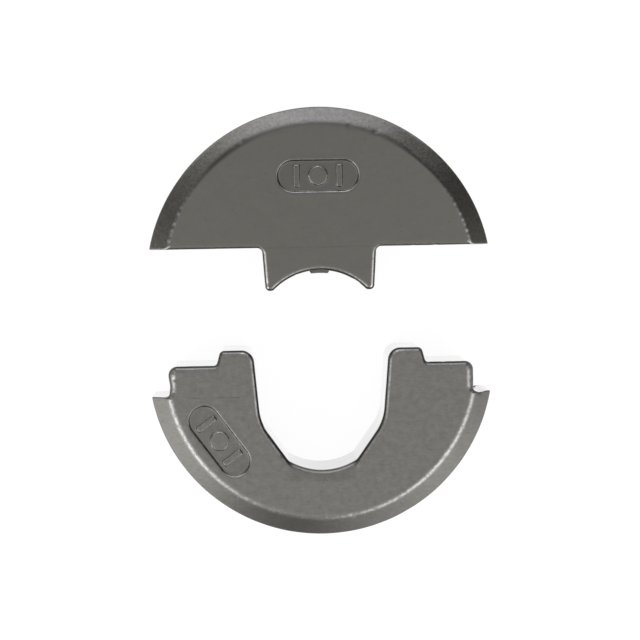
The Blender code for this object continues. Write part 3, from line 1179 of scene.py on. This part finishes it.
    def step_levels(self) -> Array:
        """Return the depths at which the rib's end rounds over."""
        over = np.radians(np.linspace(0.0, 90.0, self.rib_levels))
        steps = np.concatenate([[-self.rib_lead], 1.0 - np.cos(over)])
        return self.rib_setback + self.rib_round * steps

    def shape_rings(self, rings: Array, depth: Array) -> None:
        """Raise the rib from the top of the nest, between its two set-back ends.

        The rib stands out by its height, times a share that falls off over its leaning sides,
        times a share that a quarter circle lowers a little at its ends.
        """
        nearer = np.minimum(depth, self.thickness - depth)
        t = np.clip((nearer - self.rib_setback) / self.rib_round, 0.0, 1.0)
        rounded = 1.0 - self.rib_drop * (1.0 - np.sqrt(1.0 - (1.0 - t) ** 2))
        along = np.where(nearer < self.rib_setback, 0.0, rounded)
        half = self.rib_width / 2
        slope = self.rib_height * math.tan(self.rib_lean)
        x, y = rings[..., 0], rings[..., 1]
        crown = y < self.flat - self.web + self.edge_round + self.rib_height
        across = 1.0 - ease(np.abs(x), half - slope, half)
        rings[..., 1] -= np.where(crown, self.rib_height * across * along[:, None], 0.0)


@dataclass
class NestHalf(DieHalf):
    """The lower half: two stepped arms round the mouth and the ferrule's nest.

    Attributes:
        nest_depth: how far below the ledges the nest's foot lies.
        arm_half_width: how far from the middle the arms' outer sides stand.
        arm_band: how far inside those sides their broad rounding begins, and where in full.
        arm_rise: how far above the rim ledge it is reached in full.
        mouth_band: how far outside the mouth's wall its rubbing and painted highlight hold, and
            where they end.
        mouth_start: how far outside the lead-in they are reached in full.
        lead_in_band: how far inside and outside the lead-in's side its looks end.
        lead_in_rise: the share of the nest's radius over which the lead-in deepens further.
        guide_shares: how far outside its outline the guides lie, in its steps.
        finer: the stations' spacing, as a share of the usual one.
    """

    nest_radius: float = 0.0130
    nest_depth: float = 0.0216
    nest_half_angle: float = math.radians(32.0)
    nest_end_radius: float = 0.0022
    flank_lean: float = math.radians(35.3)
    throat_radius: float = 0.0100
    mouth_half_width: float = 0.01343
    wall_lean: float = math.radians(5.0)
    mouth_corner_radius: float = 0.0026
    horn_rise: float = 0.0030
    horn_width: float = 0.0067
    horn_lean: float = math.radians(15.0)
    horn_corner_radius: float = 0.0011
    horn_foot_radius: float = 0.0008
    ledge_corner_radius: float = 0.0018
    arm_half_width: float = 0.0309
    arm_round: float = 0.0017
    rim_ledge_drop: float = 0.0062
    arm_foot_radius: float = 0.0006
    lead_in_half_width: float = 0.0062
    lead_in_reach: float = 0.0020
    lead_in_slope: float = math.radians(5.0)
    lead_in_corner: float = 0.0020
    lead_in_step: float = 0.0012
    lead_in_rise: float = 0.25
    arm_band: Pair = (0.0016, 0.0002)
    arm_rise: float = 0.0008
    mouth_band: Pair = (0.0020, 0.0040)
    mouth_start: float = 0.0020
    lead_in_band: Pair = (-0.0010, 0.0008)
    guide_shares: Pair = (-0.1, 1.1)
    guide_points: int = 40
    finer: float = 0.8
    side_wear_and_sheen: float = 0.38
    mouth_wear_and_sheen: float = 0.40
    lead_in_shade: float = 0.30
    edge_wear_and_sheen: float = 0.38
    edge_round: float = 0.00095
    painted_shade_tilt: Pair = (math.radians(24.0), math.radians(36.0))
    arm_shade_delay: float = math.radians(20.0)
    foot_dip: float = 0.45
    foot_angle: float = math.radians(260.0)
    foot_spread: float = math.radians(20.0)
    rim: RimSection = RimSection(blend_radius=0.0023, crease_wear_and_sheen=0.70)

    @property
    def center_y(self) -> float:
        """The height of the rim's centre in the frame: the foot of the box plus the radius."""
        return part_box(self.node)[0].y + CAD_RIM_RADIUS

    @property
    def rim_turn(self) -> float:
        """The rim's arc begins on the left."""
        return math.pi

    def wall(self) -> tuple[Array, Array, Array, int]:
        """Return the stations from the right rim ledge round the mouth to the left one.

        The right half, outwards, is the nest's arc, its end's arc, the flank, the throat, the
        mouth's wall, the horn, the ledge and the arm's outer side. The left is its mirror image.
        """
        path = WallPath(-1.0, self.station_spacing * self.finer, self.edge_round)
        center = np.array([0.0, self.nest_radius - self.nest_depth])
        start = -math.pi / 2
        meets = center + self.nest_radius * directions(np.array(start + self.nest_half_angle))
        way = np.array([math.sin(self.flank_lean), math.cos(self.flank_lean)])
        end = touching_center(center, self.nest_radius, meets, way, self.nest_end_radius, True)
        toward = end - center
        turn = math.atan2(toward[1], toward[0]) - start
        path.add_arc(center, self.nest_radius, start, turn)
        rest = (math.pi / 2 - self.flank_lean) - turn
        path.add_arc(end, self.nest_end_radius, start + turn, rest)
        foot = end - self.nest_end_radius * left_of(way)
        slope, lean = math.tan(self.flank_lean), math.tan(self.wall_lean)
        throat_y = (self.mouth_half_width - meets[0] + meets[1] * slope) / (slope - lean)
        throat_x = self.mouth_half_width + throat_y * lean
        horn_inner = self.mouth_half_width + self.horn_rise * lean
        horn_outer = horn_inner + self.horn_width
        horn_foot = horn_outer + self.horn_rise * math.tan(self.horn_lean)
        inner = [
            Corner(throat_x, throat_y, self.throat_radius),
            Corner(horn_inner, self.horn_rise, self.mouth_corner_radius),
            Corner(horn_outer, self.horn_rise, self.horn_corner_radius),
            Corner(horn_foot, 0.0, self.horn_foot_radius),
        ]
        ledge_middle = np.array([(horn_foot + self.arm_half_width) / 2, 0.0])
        path.add_corners(foot, inner, ledge_middle)
        outer = [
            Corner(self.arm_half_width, 0.0, self.ledge_corner_radius),
            Corner(self.arm_half_width, -self.rim_ledge_drop, self.arm_foot_radius),
        ]
        stop = np.array([self.rim.radius, -self.rim_ledge_drop])
        path.add_corners(ledge_middle, outer, stop)
        path.share_rounding(self.arm_round, self._arm_share)
        return path.mirrored(np.array([self.arm_half_width, -self.rim_ledge_drop / 2]))

    def _arm_share(self, points: Array) -> Array:
        """Return how far each place shares the broad rounding of the arm's outer side."""
        start, full = (self.arm_half_width - reach for reach in self.arm_band)
        above = ease(points[:, 1], -self.rim_ledge_drop, -self.rim_ledge_drop + self.arm_rise)
        return ease(np.abs(points[:, 0]), start, full) * above

    def _mouth_share(self, points: Array) -> Array:
        """Return how far each place lies on an arm's inner side, from the horn to the nest."""
        side = np.abs(points[:, 0])
        beside = 1.0 - ease(side, *(self.mouth_half_width + reach for reach in self.mouth_band))
        edge = self.lead_in_half_width
        return beside * ease(side, edge, edge + self.mouth_start)

    def rubbed_and_sheen(self, points: Array) -> Array:
        """Return the rubbing and painted highlight: most on the arms' inner and outer sides,
        none in the lead-in.
        """
        outer = self.side_wear_and_sheen * self._arm_share(points)
        inner = self.mouth_wear_and_sheen * self._mouth_share(points)
        return self.edge_wear_and_sheen * self._beyond_lead_in(points) + (outer + inner)

    def painted_edge_shade(self, points: Array) -> Array:
        """Return the painted shade: less in the lead-in than elsewhere."""
        return blend(np.array(self.lead_in_shade), np.array(1.0), self._beyond_lead_in(points))

    def _beyond_lead_in(self, points: Array) -> Array:
        """Return 0 in the lead-in at the nest's foot and 1 away from it."""
        start, full = (self.lead_in_half_width + reach for reach in self.lead_in_band)
        return ease(np.abs(points[:, 0]), start, full)

    def painted_shade_delay(self, points: Array) -> Array:
        """Return the delay: the broad rounding of the arms' sides stays free of painted shade
        for longer.
        """
        return self.arm_shade_delay * self._arm_share(points)

    def rim_wear_sheen_shade_share(self, angles: Array) -> Array:
        """Return the share: a bell-shaped dip at the foot of the rim, where the painted highlight
        is dimmer.
        """
        return 1.0 - self.foot_dip * np.exp(-(((angles - self.foot_angle) / self.foot_spread) ** 2))

    def relief(self, places: Array) -> Array:
        """Return the lead-in's depth at places in plan.

        It grows from its outer edge towards the nest by the slope's tangent, within a
        rounded outline whose sides fall off over a small step.
        """
        edge = -self.nest_depth - self.lead_in_reach
        beyond = places[:, 1] - edge
        deepest = self.lead_in_reach + self.nest_radius * self.lead_in_rise
        depth = math.tan(self.lead_in_slope) * np.clip(beyond, 0.0, deepest)
        corner = np.clip(self.lead_in_corner - beyond, 0.0, self.lead_in_corner)
        bow = self.lead_in_corner - np.sqrt(self.lead_in_corner**2 - corner**2)
        side = self.lead_in_half_width - bow - np.abs(places[:, 0])
        return depth * ease(side, -self.lead_in_step, 0.0)

    def guides(self) -> Array | None:
        """Return points along the lead-in's outline, just inside and just outside its step."""
        edge = -self.nest_depth - self.lead_in_reach
        half, corner = self.lead_in_half_width, self.lead_in_corner
        mark = Mark(0.0, 2 * half, 2 * corner, corner)
        across = np.linspace(-half + corner, half - corner, self.guide_points)
        level = np.column_stack([across, np.full(self.guide_points, edge)])
        rings = mark.ring(self.lead_in_step * np.array(self.guide_shares)).reshape(-1, 2)
        rings = rings[rings[:, 1] < 0.0] + np.array([0.0, edge + corner])
        return np.vstack([rings, level])


class Sheet:
    """A node tree, with short ways to add nodes and wire them."""

    def __init__(self, tree: bpy.types.NodeTree) -> None:
        """Work on a node tree.

        Args:
            tree: the tree of a material, a world or a group.
        """
        self.tree = tree

    def add(self, kind: str, inputs: dict | None = None, **settings: object) -> bpy.types.Node:
        """Add a node.

        Args:
            kind: the node's type.
            inputs: what each input gets, by name or number: an output socket or a value.
            **settings: the node's own settings.

        Returns:
            The node.
        """
        node = self.tree.nodes.new(kind)
        for name, value in settings.items():
            setattr(node, name, value)
        for name, value in (inputs or {}).items():
            if isinstance(value, Output):
                self.tree.links.new(value, node.inputs[name])
            else:
                node.inputs[name].default_value = value
        return node

    def group(self, name: str, inputs: dict) -> bpy.types.Node:
        """Place a shared effect with its own values."""
        return self.add("ShaderNodeGroup", inputs, node_tree=bpy.data.node_groups[name])

    def math(self, operation: str, first: object, second: object = 0.0, clamp: bool = False) -> Output:
        """Add a Math node and return its output."""
        inputs = {0: first, 1: second}
        return self.add("ShaderNodeMath", inputs, operation=operation, use_clamp=clamp).outputs[0]

    def times(self, first: object, second: object) -> Output:
        """Return the product of two values."""
        return self.math("MULTIPLY", first, second)

    def plus(self, first: object, second: object) -> Output:
        """Return the sum of two values."""
        return self.math("ADD", first, second)

    def minus(self, first: object, second: object) -> Output:
        """Return the first value less the second."""
        return self.math("SUBTRACT", first, second)

    def less(self, value: object, share: object) -> Output:
        """Return 1 less a share of a value."""
        return self.minus(1.0, self.times(value, share))

    def swing(self, value: object, reach: object) -> Output:
        """Return how far a noise is from its middle, times a reach."""
        return self.times(self.minus(value, NOISE_MIDDLE), reach)

    def noise(self, place: object, scale: object, detail: float, roughness: float = 0.5) -> Output:
        """Add a Noise texture and return its value."""
        inputs = {"Vector": place, "Scale": scale, "Detail": detail, "Roughness": roughness}
        return self.add("ShaderNodeTexNoise", inputs).outputs[0]

    def range(
        self, value: object, low: float, high: float, to_low: float = 0.0, to_high: float = 1.0
    ) -> Output:
        """Map a value from one range to another, smoothly and clamped."""
        inputs = {0: value, 1: low, 2: high, 3: to_low, 4: to_high}
        return self.add("ShaderNodeMapRange", inputs, interpolation_type="SMOOTHSTEP").outputs[0]

    def wire(self, value: Output, node: bpy.types.Node, name: str) -> None:
        """Lead a value to a node's input."""
        self.tree.links.new(value, node.inputs[name])


class Socket(Enum):
    """The kinds of socket that the shared effects have."""

    VALUE = "NodeSocketFloat"
    VECTOR = "NodeSocketVector"


@dataclass(frozen=True)
class Effect:
    """A shader effect that several finishes share, as a node group.

    Attributes:
        name: the group's name.
        inputs: the values that it takes beside the place, each with its usual value.
        outputs: the values that it gives.
    """

    name: str
    inputs: tuple[tuple[str, float], ...]
    outputs: tuple[str, ...]

    def start(self) -> tuple[Sheet, bpy.types.Node, bpy.types.Node]:
        """Make the empty group with its sockets and return its sheet, its input and its output."""
        group = bpy.data.node_groups.new(self.name, "ShaderNodeTree")
        face = group.interface
        face.new_socket("Place", in_out="INPUT", socket_type=Socket.VECTOR.value)
        for label, value in self.inputs:
            socket = face.new_socket(label, in_out="INPUT", socket_type=Socket.VALUE.value)
            socket.default_value = value
        for label in self.outputs:
            face.new_socket(label, in_out="OUTPUT", socket_type=Socket.VALUE.value)
        sheet = Sheet(group)
        return sheet, sheet.add("NodeGroupInput"), sheet.add("NodeGroupOutput")


def blasted_grain() -> bpy.types.NodeTree:
    """Make the group for the fine grain and the scattered pits that blasting leaves.

    Returns:
        A group whose Height is the grain's relief and whose Pits marks the pits.
    """
    effect = Effect("blasted_grain", (("Grain", 5000.0), ("Pit Share", 0.2)), ("Height", "Pits"))
    sheet, entry, result = effect.start()
    place, grain = entry.outputs["Place"], entry.outputs["Grain"]
    broad_scale, pit_scale, pit_size, pit_depth = 0.28, 0.22, 0.3, 0.9
    fine = sheet.noise(place, grain, 2.0, 0.6)
    broad = sheet.noise(place, sheet.times(grain, broad_scale), 2.0)
    inputs = {"Vector": place, "Scale": sheet.times(grain, pit_scale)}
    cells = sheet.add("ShaderNodeTexVoronoi", inputs)
    core = sheet.range(cells.outputs["Distance"], 0.0, pit_size, 1.0, 0.0)
    colors = sheet.add("ShaderNodeSeparateColor", {"Color": cells.outputs["Color"]})
    chosen = sheet.math("LESS_THAN", colors.outputs[0], entry.outputs["Pit Share"])
    pits = sheet.times(core, chosen)
    height = sheet.minus(sheet.plus(fine, broad), sheet.times(pits, pit_depth))
    sheet.wire(height, result, "Height")
    sheet.wire(pits, result, "Pits")
    return sheet.tree


def cloudy_tone() -> bpy.types.NodeTree:
    """Make the group for the cloudy changes of tone and the faint streaks across a casting.

    Returns:
        A group whose Tone is about 1 and wanders by the Contrast and the Streaks.
    """
    inputs = (("Cloud", 800.0), ("Contrast", 0.1), ("Streaks", 0.0))
    sheet, entry, result = Effect("cloudy_tone", inputs, ("Tone",)).start()
    place = entry.outputs["Place"]
    streak_scale = (900.0, 3800.0, 900.0)
    cloud = sheet.noise(place, entry.outputs["Cloud"], 5.0, 0.68)
    stretched = sheet.add("ShaderNodeMapping", {"Vector": place, "Scale": streak_scale})
    streak = sheet.noise(stretched.outputs[0], 1.0, 2.0)
    clouds = sheet.swing(cloud, entry.outputs["Contrast"])
    lines = sheet.swing(streak, entry.outputs["Streaks"])
    sheet.wire(sheet.plus(sheet.plus(clouds, lines), 1.0), result, "Tone")
    return sheet.tree


def edge_rub_and_sheen() -> bpy.types.NodeTree:
    """Make the group for edges that rubbing and a painted highlight brighten in a broken line.

    Returns:
        A group whose Mask is 1 on bright metal and painted highlight.
    """
    effect = Effect("edge_rub_and_sheen", (("Wear And Sheen", 0.0), ("Break", 1400.0)), ("Mask",))
    sheet, entry, result = effect.start()
    wear_sheen_shade = entry.outputs["Wear And Sheen"]
    wear_lift, broken_level, whole_level, broken_share = 0.45, 0.62, 0.88, 0.35
    broken = sheet.noise(entry.outputs["Place"], entry.outputs["Break"], 3.0, 0.7)
    level = sheet.plus(broken, sheet.times(wear_sheen_shade, wear_lift))
    share = sheet.range(level, broken_level, whole_level, broken_share, 1.0)
    sheet.wire(sheet.times(wear_sheen_shade, share), result, "Mask")
    return sheet.tree


def witness_line() -> bpy.types.NodeTree:
    """Make the group for a faint line that the pattern's parting left across a face.

    Returns:
        A group whose Mask is 1 on the line.
    """
    inputs = (("Level", 0.0), ("Left", 0.0), ("Right", 0.0), ("Width", 0.0002))
    sheet, entry, result = Effect("witness_line", inputs, ("Mask",)).start()
    wander_scale, wander_reach, faint_level, full_level, faint_share = 420.0, 0.0003, 0.35, 0.6, 0.3
    place = sheet.add("ShaderNodeSeparateXYZ", {0: entry.outputs["Place"]})
    wander = sheet.noise(entry.outputs["Place"], wander_scale, 2.0)
    drift = sheet.swing(wander, wander_reach)
    away = sheet.minus(place.outputs[1], entry.outputs["Level"])
    away = sheet.math("ABSOLUTE", sheet.plus(away, drift))
    beside = sheet.math("DIVIDE", away, entry.outputs["Width"])
    near = sheet.math("SUBTRACT", 1.0, beside, clamp=True)
    after_left = sheet.math("GREATER_THAN", place.outputs[0], entry.outputs["Left"])
    before_right = sheet.math("LESS_THAN", place.outputs[0], entry.outputs["Right"])
    broken = sheet.range(wander, faint_level, full_level, faint_share, 1.0)
    mask = sheet.times(sheet.times(near, broken), sheet.times(after_left, before_right))
    sheet.wire(mask, result, "Mask")
    return sheet.tree


@dataclass(frozen=True)
class WitnessLine:
    """Where a casting's faint line lies in the frame, and how strong it is."""

    level: float
    left: float
    right: float
    width: float = 0.00022
    strength: float = 0.25


@dataclass(frozen=True)
class SteelFinish:
    """A dark satin cast steel, blasted, with rubbing, painted highlights and painted shade on
    its edges.

    Attributes:
        name: the material's name.
        color: the steel's own reflection colour.
        roughness: how broad its gloss is.
        grain: how many grains lie along a metre.
        grain_depth: how strong the grain's relief is.
        pits: the share of grains that are pits.
        contrast: how far the tone wanders in clouds.
        streaks: how far it wanders in streaks.
        bright: the colour of the edges' rubbing and painted highlights.
        oil: how much of the faces a thin film of oil covers.
        oil_roughness: how broad the oil's gloss is.
        wall_polish: how much smoother the side walls are than the faces.
        wall_calm: how much shallower their grain is.
        edge_shade: how much darker the painted shade makes an edge.
        cast_grain: how much deeper the grain is on the bevels than on the faces.
        cast_calm: how much less the bevels' tone wanders in clouds.
        mottle: how far the tone of the bevels wanders.
        pit_tone: how much darker a pit is, and pit_gloss how much duller.
        pocket_shade: how much darker the painted shade makes the sunk marking pocket.
        rub_and_sheen_polish: how much smoother an edge with rubbing and painted highlight is.
        line: its witness line, and line_depth its depth in grains.
        wall_levels: the steepness, as the normal's height, of a wall and of what isn't one.
        bevel_levels: the same for a bevel and for a face.
    """

    name: str
    color: tuple[float, float, float]
    line: WitnessLine
    roughness: float = 0.30
    oil: float = 0.25
    oil_roughness: float = 0.12
    wall_polish: float = 0.14
    wall_calm: float = 0.8
    edge_shade: float = 0.72
    cast_grain: float = 1.5
    cast_calm: float = 0.6
    mottle: float = 0.0
    mottle_scale: float = 1500.0
    pit_tone: float = 0.35
    pit_gloss: float = 0.1
    pocket_shade: float = 0.12
    rub_and_sheen_polish: float = 0.06
    line_depth: float = 2.5
    wall_levels: Pair = (0.12, 0.50)
    bevel_levels: Pair = (0.90, 0.985)
    grain: float = 5200.0
    grain_depth: float = 0.000012
    pits: float = 0.04
    contrast: float = 0.16
    streaks: float = 0.0
    bright: tuple[float, float, float, float] = (0.56, 0.555, 0.55, 1.0)

    def material(self) -> bpy.types.Material:
        """Make the material: the shared effects feed the Principled shader's sockets."""
        material = bpy.data.materials.new(self.name)
        material.use_nodes = True
        sheet = Sheet(material.node_tree)
        shader = material.node_tree.nodes["Principled BSDF"]
        shader.inputs["Metallic"].default_value = 1.0
        shader.inputs["Coat Roughness"].default_value = self.oil_roughness
        normal = sheet.add("ShaderNodeNewGeometry").outputs["Normal"]
        height = sheet.add("ShaderNodeSeparateXYZ", {0: normal}).outputs[2]
        level = sheet.math("ABSOLUTE", height)
        wall = sheet.range(level, *self.wall_levels, 1.0, 0.0)
        cast = sheet.range(level, *self.bevel_levels, 1.0, 0.0)
        film = sheet.plus(self.oil, sheet.times(wall, 1.0 - self.oil))
        sheet.wire(film, shader, "Coat Weight")
        place = sheet.add("ShaderNodeTexCoord").outputs["Object"]
        wear_sheen_shade = sheet.add("ShaderNodeAttribute", attribute_name="wear_sheen_shade").outputs["Fac"]
        sunk = sheet.add("ShaderNodeAttribute", attribute_name="sunk").outputs["Fac"]
        inputs = {"Place": place, "Grain": self.grain, "Pit Share": self.pits}
        grain = sheet.group("blasted_grain", inputs)
        pits = grain.outputs["Pits"]
        even = sheet.times(self.contrast, sheet.less(cast, self.cast_calm))
        inputs = {"Place": place, "Contrast": even, "Streaks": self.streaks}
        cloud = sheet.group("cloudy_tone", inputs)
        # Painted highlight, partly rubbing: the attribute's positive values mix the edges towards the
        # bright colour.
        inputs = {"Place": place, "Wear And Sheen": sheet.math("MAXIMUM", wear_sheen_shade, 0.0)}
        rub_and_sheen = sheet.group("edge_rub_and_sheen", inputs).outputs["Mask"]
        ends = {"Left": self.line.left, "Right": self.line.right}
        inputs = {"Place": place, "Level": self.line.level, "Width": self.line.width, **ends}
        mask = sheet.group("witness_line", inputs).outputs["Mask"]
        mask = sheet.times(mask, self.line.strength)
        patches = sheet.swing(sheet.noise(place, self.mottle_scale, 3.0, 0.6), self.mottle)
        tone = sheet.plus(cloud.outputs["Tone"], sheet.times(patches, cast))
        tone = sheet.times(tone, sheet.less(pits, self.pit_tone))
        tone = sheet.times(tone, sheet.minus(1.0, mask))
        # Painted shade over the sunk marking pocket.
        tone = sheet.times(tone, sheet.less(sunk, self.pocket_shade))
        # Painted shade: the attribute's negative values darken the steep part of the rounded edges.
        painted_shade = sheet.math("MULTIPLY", wear_sheen_shade, -1.0, clamp=True)
        tone = sheet.times(tone, sheet.less(painted_shade, self.edge_shade))
        inputs = {0: self.color, "Scale": tone}
        steel = sheet.add("ShaderNodeVectorMath", inputs, operation="SCALE").outputs[0]
        inputs = {0: rub_and_sheen, 6: steel, 7: self.bright}
        shown = sheet.add("ShaderNodeMix", inputs, data_type="RGBA").outputs[2]
        sheet.wire(shown, shader, "Base Color")
        gloss = sheet.plus(sheet.times(rub_and_sheen, -self.rub_and_sheen_polish), self.roughness)
        gloss = sheet.plus(gloss, sheet.times(pits, self.pit_gloss))
        gloss = sheet.minus(gloss, sheet.times(wall, self.wall_polish))
        sheet.wire(gloss, shader, "Roughness")
        height = sheet.minus(grain.outputs["Height"], sheet.times(mask, self.line_depth))
        coarse = sheet.plus(1.0, sheet.times(cast, self.cast_grain))
        calm = sheet.times(wall, self.cast_grain + self.wall_calm)
        height = sheet.times(height, sheet.minus(coarse, calm))
        inputs = {"Strength": 1.0, "Distance": self.grain_depth, "Height": height}
        sheet.wire(sheet.add("ShaderNodeBump", inputs).outputs[0], shader, "Normal")
        return material


@dataclass(frozen=True)
class Glow:
    """A soft round patch of light in the room, which fades out evenly towards its edge.

    Attributes:
        azimuth: its direction in plan, from +X towards +Y, in degrees.
        elevation: its height above the floor, in degrees.
        strength: how bright its middle is, where 1 shows white.
        spread: the angle from its middle to its edge, in degrees.
        cool: whether its light is a little blue, like a window's.
    """

    azimuth: float
    elevation: float
    strength: float
    spread: float = 38.0
    cool: bool = False

    @property
    def way(self) -> tuple[float, float, float]:
        """The direction of its middle."""
        turn, lift = math.radians(self.azimuth), math.radians(self.elevation)
        return math.cos(turn) * math.cos(lift), math.sin(turn) * math.cos(lift), math.sin(lift)


@dataclass(frozen=True)
class Studio:
    """The pale floor, the dark room with the soft glows that light the die, and the camera.

    Attributes:
        floor_glow: how bright the floor is to the camera.
        floor_color: how much light it reflects.
        cool: the colour of the cool glows' light.
        eye: where the camera stands.
        aim: the point that it looks at.
        roll: how far it is turned about its line of sight.
        lens: its focal length in millimetres.
        clip: the nearest and the furthest that it sees.
    """

    floor_radius: float = 2.5
    floor_glow: float = 0.935
    floor_color: float = 0.12
    floor_roughness: float = 0.9
    floor_corners: int = 96
    cool: tuple[float, float, float] = (0.97, 0.98, 1.10)
    eye: tuple[float, float, float] = (-0.0105, 0.0230, 0.4000)
    aim: tuple[float, float, float] = (-0.0001, 0.00046, 0.0160)
    roll: float = math.radians(1.0)
    lens: float = 107.4
    clip: Pair = (0.01, 20.0)
    glows: tuple[Glow, ...] = (
        Glow(0.0, 30.0, 0.20, 34.0),
        Glow(0.0, 5.0, 0.22, 30.0),
        Glow(0.0, 60.0, 0.54, 30.0),
        Glow(0.0, 90.0, 0.62, 26.0),
        Glow(60.0, 5.0, 1.24, 30.0),
        Glow(90.0, 30.0, 2.08, 34.0, cool=True),
        Glow(90.0, 60.0, 0.34, 30.0),
        Glow(120.0, 5.0, 1.50, 30.0),
        Glow(120.0, 30.0, 0.25, 34.0),
        Glow(135.0, 60.0, 0.20, 30.0),
        Glow(150.0, 30.0, 0.21, 34.0),
        Glow(180.0, 5.0, 1.03, 30.0),
        Glow(180.0, 60.0, 0.06, 30.0),
        Glow(210.0, 30.0, 1.86, 34.0),
        Glow(225.0, 60.0, 1.16, 30.0),
        Glow(240.0, 5.0, 0.55, 30.0),
        Glow(240.0, 30.0, 0.08, 34.0),
        Glow(270.0, 30.0, 0.17, 34.0),
        Glow(300.0, 30.0, 1.12, 34.0),
        Glow(315.0, 60.0, 0.59, 30.0),
        Glow(330.0, 30.0, 1.05, 34.0),
    )

    def build(self) -> None:
        """Build the floor, the room with its glows, and the camera."""
        self._floor()
        self._room()
        self._camera()

    def _floor(self) -> None:
        """Lay the floor: a disc that glows white to the eye and in the metal, and keeps shadows."""
        count = self.floor_corners
        angles = np.linspace(0.0, 2.0 * math.pi, count, endpoint=False)
        places = np.column_stack([directions(angles) * self.floor_radius, np.zeros(count)])
        mesh = bpy.data.meshes.new("floor")
        mesh.from_pydata(places.tolist(), [], [list(range(count))])
        floor = bpy.data.objects.new("floor", mesh)
        bpy.context.scene.collection.objects.link(floor)
        material = bpy.data.materials.new("pale_floor")
        material.use_nodes = True
        sheet = Sheet(material.node_tree)
        shader = material.node_tree.nodes["Principled BSDF"]
        shader.inputs["Base Color"].default_value = (self.floor_color,) * 3 + (1.0,)
        shader.inputs["Roughness"].default_value = self.floor_roughness
        shader.inputs["Specular IOR Level"].default_value = 0.0
        shader.inputs["Emission Color"].default_value = (1.0, 1.0, 1.0, 1.0)
        path = sheet.add("ShaderNodeLightPath")
        glossy, through = path.outputs["Is Glossy Ray"], path.outputs["Is Transmission Ray"]
        mirrored = sheet.math("MAXIMUM", glossy, through)
        seen = sheet.times(path.outputs["Is Camera Ray"], self.floor_glow)
        sheet.wire(sheet.math("MAXIMUM", seen, mirrored), shader, "Emission Strength")
        mesh.materials.append(material)

    def _room(self) -> None:
        """Set the world: the sum of the glows, each by the angle from the glow's middle."""
        world = bpy.data.worlds.new("room")
        bpy.context.scene.world = world
        world.use_nodes = True
        sheet = Sheet(world.node_tree)
        sky = world.node_tree.nodes["Background"]
        way = sheet.add("ShaderNodeTexCoord").outputs["Generated"]
        levels = {False: 0.0, True: 0.0}
        for glow in self.glows:
            inputs = {0: way, 1: glow.way}
            product = sheet.add("ShaderNodeVectorMath", inputs, operation="DOT_PRODUCT")
            edge = math.cos(math.radians(glow.spread))
            patch = sheet.range(product.outputs["Value"], edge, 1.0, 0.0, glow.strength)
            levels[glow.cool] = sheet.plus(patch, levels[glow.cool])
        plain, cool = (
            sheet.add("ShaderNodeVectorMath", {0: color, "Scale": level}, operation="SCALE").outputs[0]
            for color, level in (((1.0, 1.0, 1.0), levels[False]), (self.cool, levels[True]))
        )
        both = sheet.add("ShaderNodeVectorMath", {0: plain, 1: cool}, operation="ADD")
        sheet.wire(both.outputs[0], sky, "Color")
        sky.inputs["Strength"].default_value = 1.0

    def _camera(self) -> None:
        """Stand the camera over the die, as the photograph's was, with its slight roll."""
        camera = bpy.data.objects.new("camera", bpy.data.cameras.new("camera"))
        bpy.context.scene.collection.objects.link(camera)
        eye, aim = Vector(self.eye), Vector(self.aim)
        look = (aim - eye).normalized()
        right = look.cross(Vector((math.sin(self.roll), math.cos(self.roll), 0.0))).normalized()
        up = right.cross(look)
        turned = Matrix((right, up, -look)).transposed().to_4x4()
        camera.matrix_world = Matrix.Translation(eye) @ turned
        camera.data.lens = self.lens
        camera.data.clip_start, camera.data.clip_end = self.clip
        bpy.context.scene.camera = camera


def punch_half() -> PunchHalf:
    """Describe the upper half as it lies in the photograph."""
    return PunchHalf(
        name="upper_die_casting",
        node="upper_die",
        body="punch_half",
        slot="punch_steel",
        pocket=MarkingPocket(0.0, 0.0211, 0.0),
        unevenness=Unevenness(seed=11),
    )


def nest_half() -> NestHalf:
    """Describe the lower half as it lies in the photograph."""
    turn = math.radians(-53.7)
    radius = 0.02584
    return NestHalf(
        name="lower_die_casting",
        node="lower_die",
        body="nest_half",
        slot="nest_steel",
        pocket=MarkingPocket(radius * math.sin(turn), -radius * math.cos(turn), turn),
        unevenness=Unevenness(seed=23),
        dents=(
            Dent(0.0323, -0.0062, 0.0006, 0.00040),
            Dent(-0.0309, -0.0042, 0.0013, 0.00020),
            Dent(-0.0309, -0.0020, 0.0012, -0.00008),
        ),
    )


def main() -> None:
    """Build and dress both halves, then the studio round them."""
    logging.basicConfig(level=logging.INFO, format="%(name)s: %(message)s")
    bpy.context.scene.view_settings.view_transform = "Standard"
    for effect in (blasted_grain, cloudy_tone, edge_rub_and_sheen, witness_line):
        effect()
    punch, nest = punch_half(), nest_half()
    finishes = {
        punch.node: SteelFinish(
            "punch_steel",
            (0.141, 0.136, 0.122),
            WitnessLine(punch.center_y + 0.0068, -0.0115, 0.0115, strength=0.12),
            streaks=0.06,
            mottle=0.9,
        ),
        nest.node: SteelFinish(
            "nest_steel",
            (0.171, 0.165, 0.152),
            WitnessLine(nest.center_y - 0.0064, -0.0275, -0.0165),
            contrast=0.60,
            streaks=0.30,
            mottle=0.2,
        ),
    }
    for half in (punch, nest):
        piece = half.build()
        half.dress(piece, finishes[half.node])
        counts = len(piece.data.vertices), len(piece.data.polygons)
        log.info("%s: %d vertices, %d faces", piece.name, *counts)
    Studio().build()


if __name__ == "__main__":
    main()
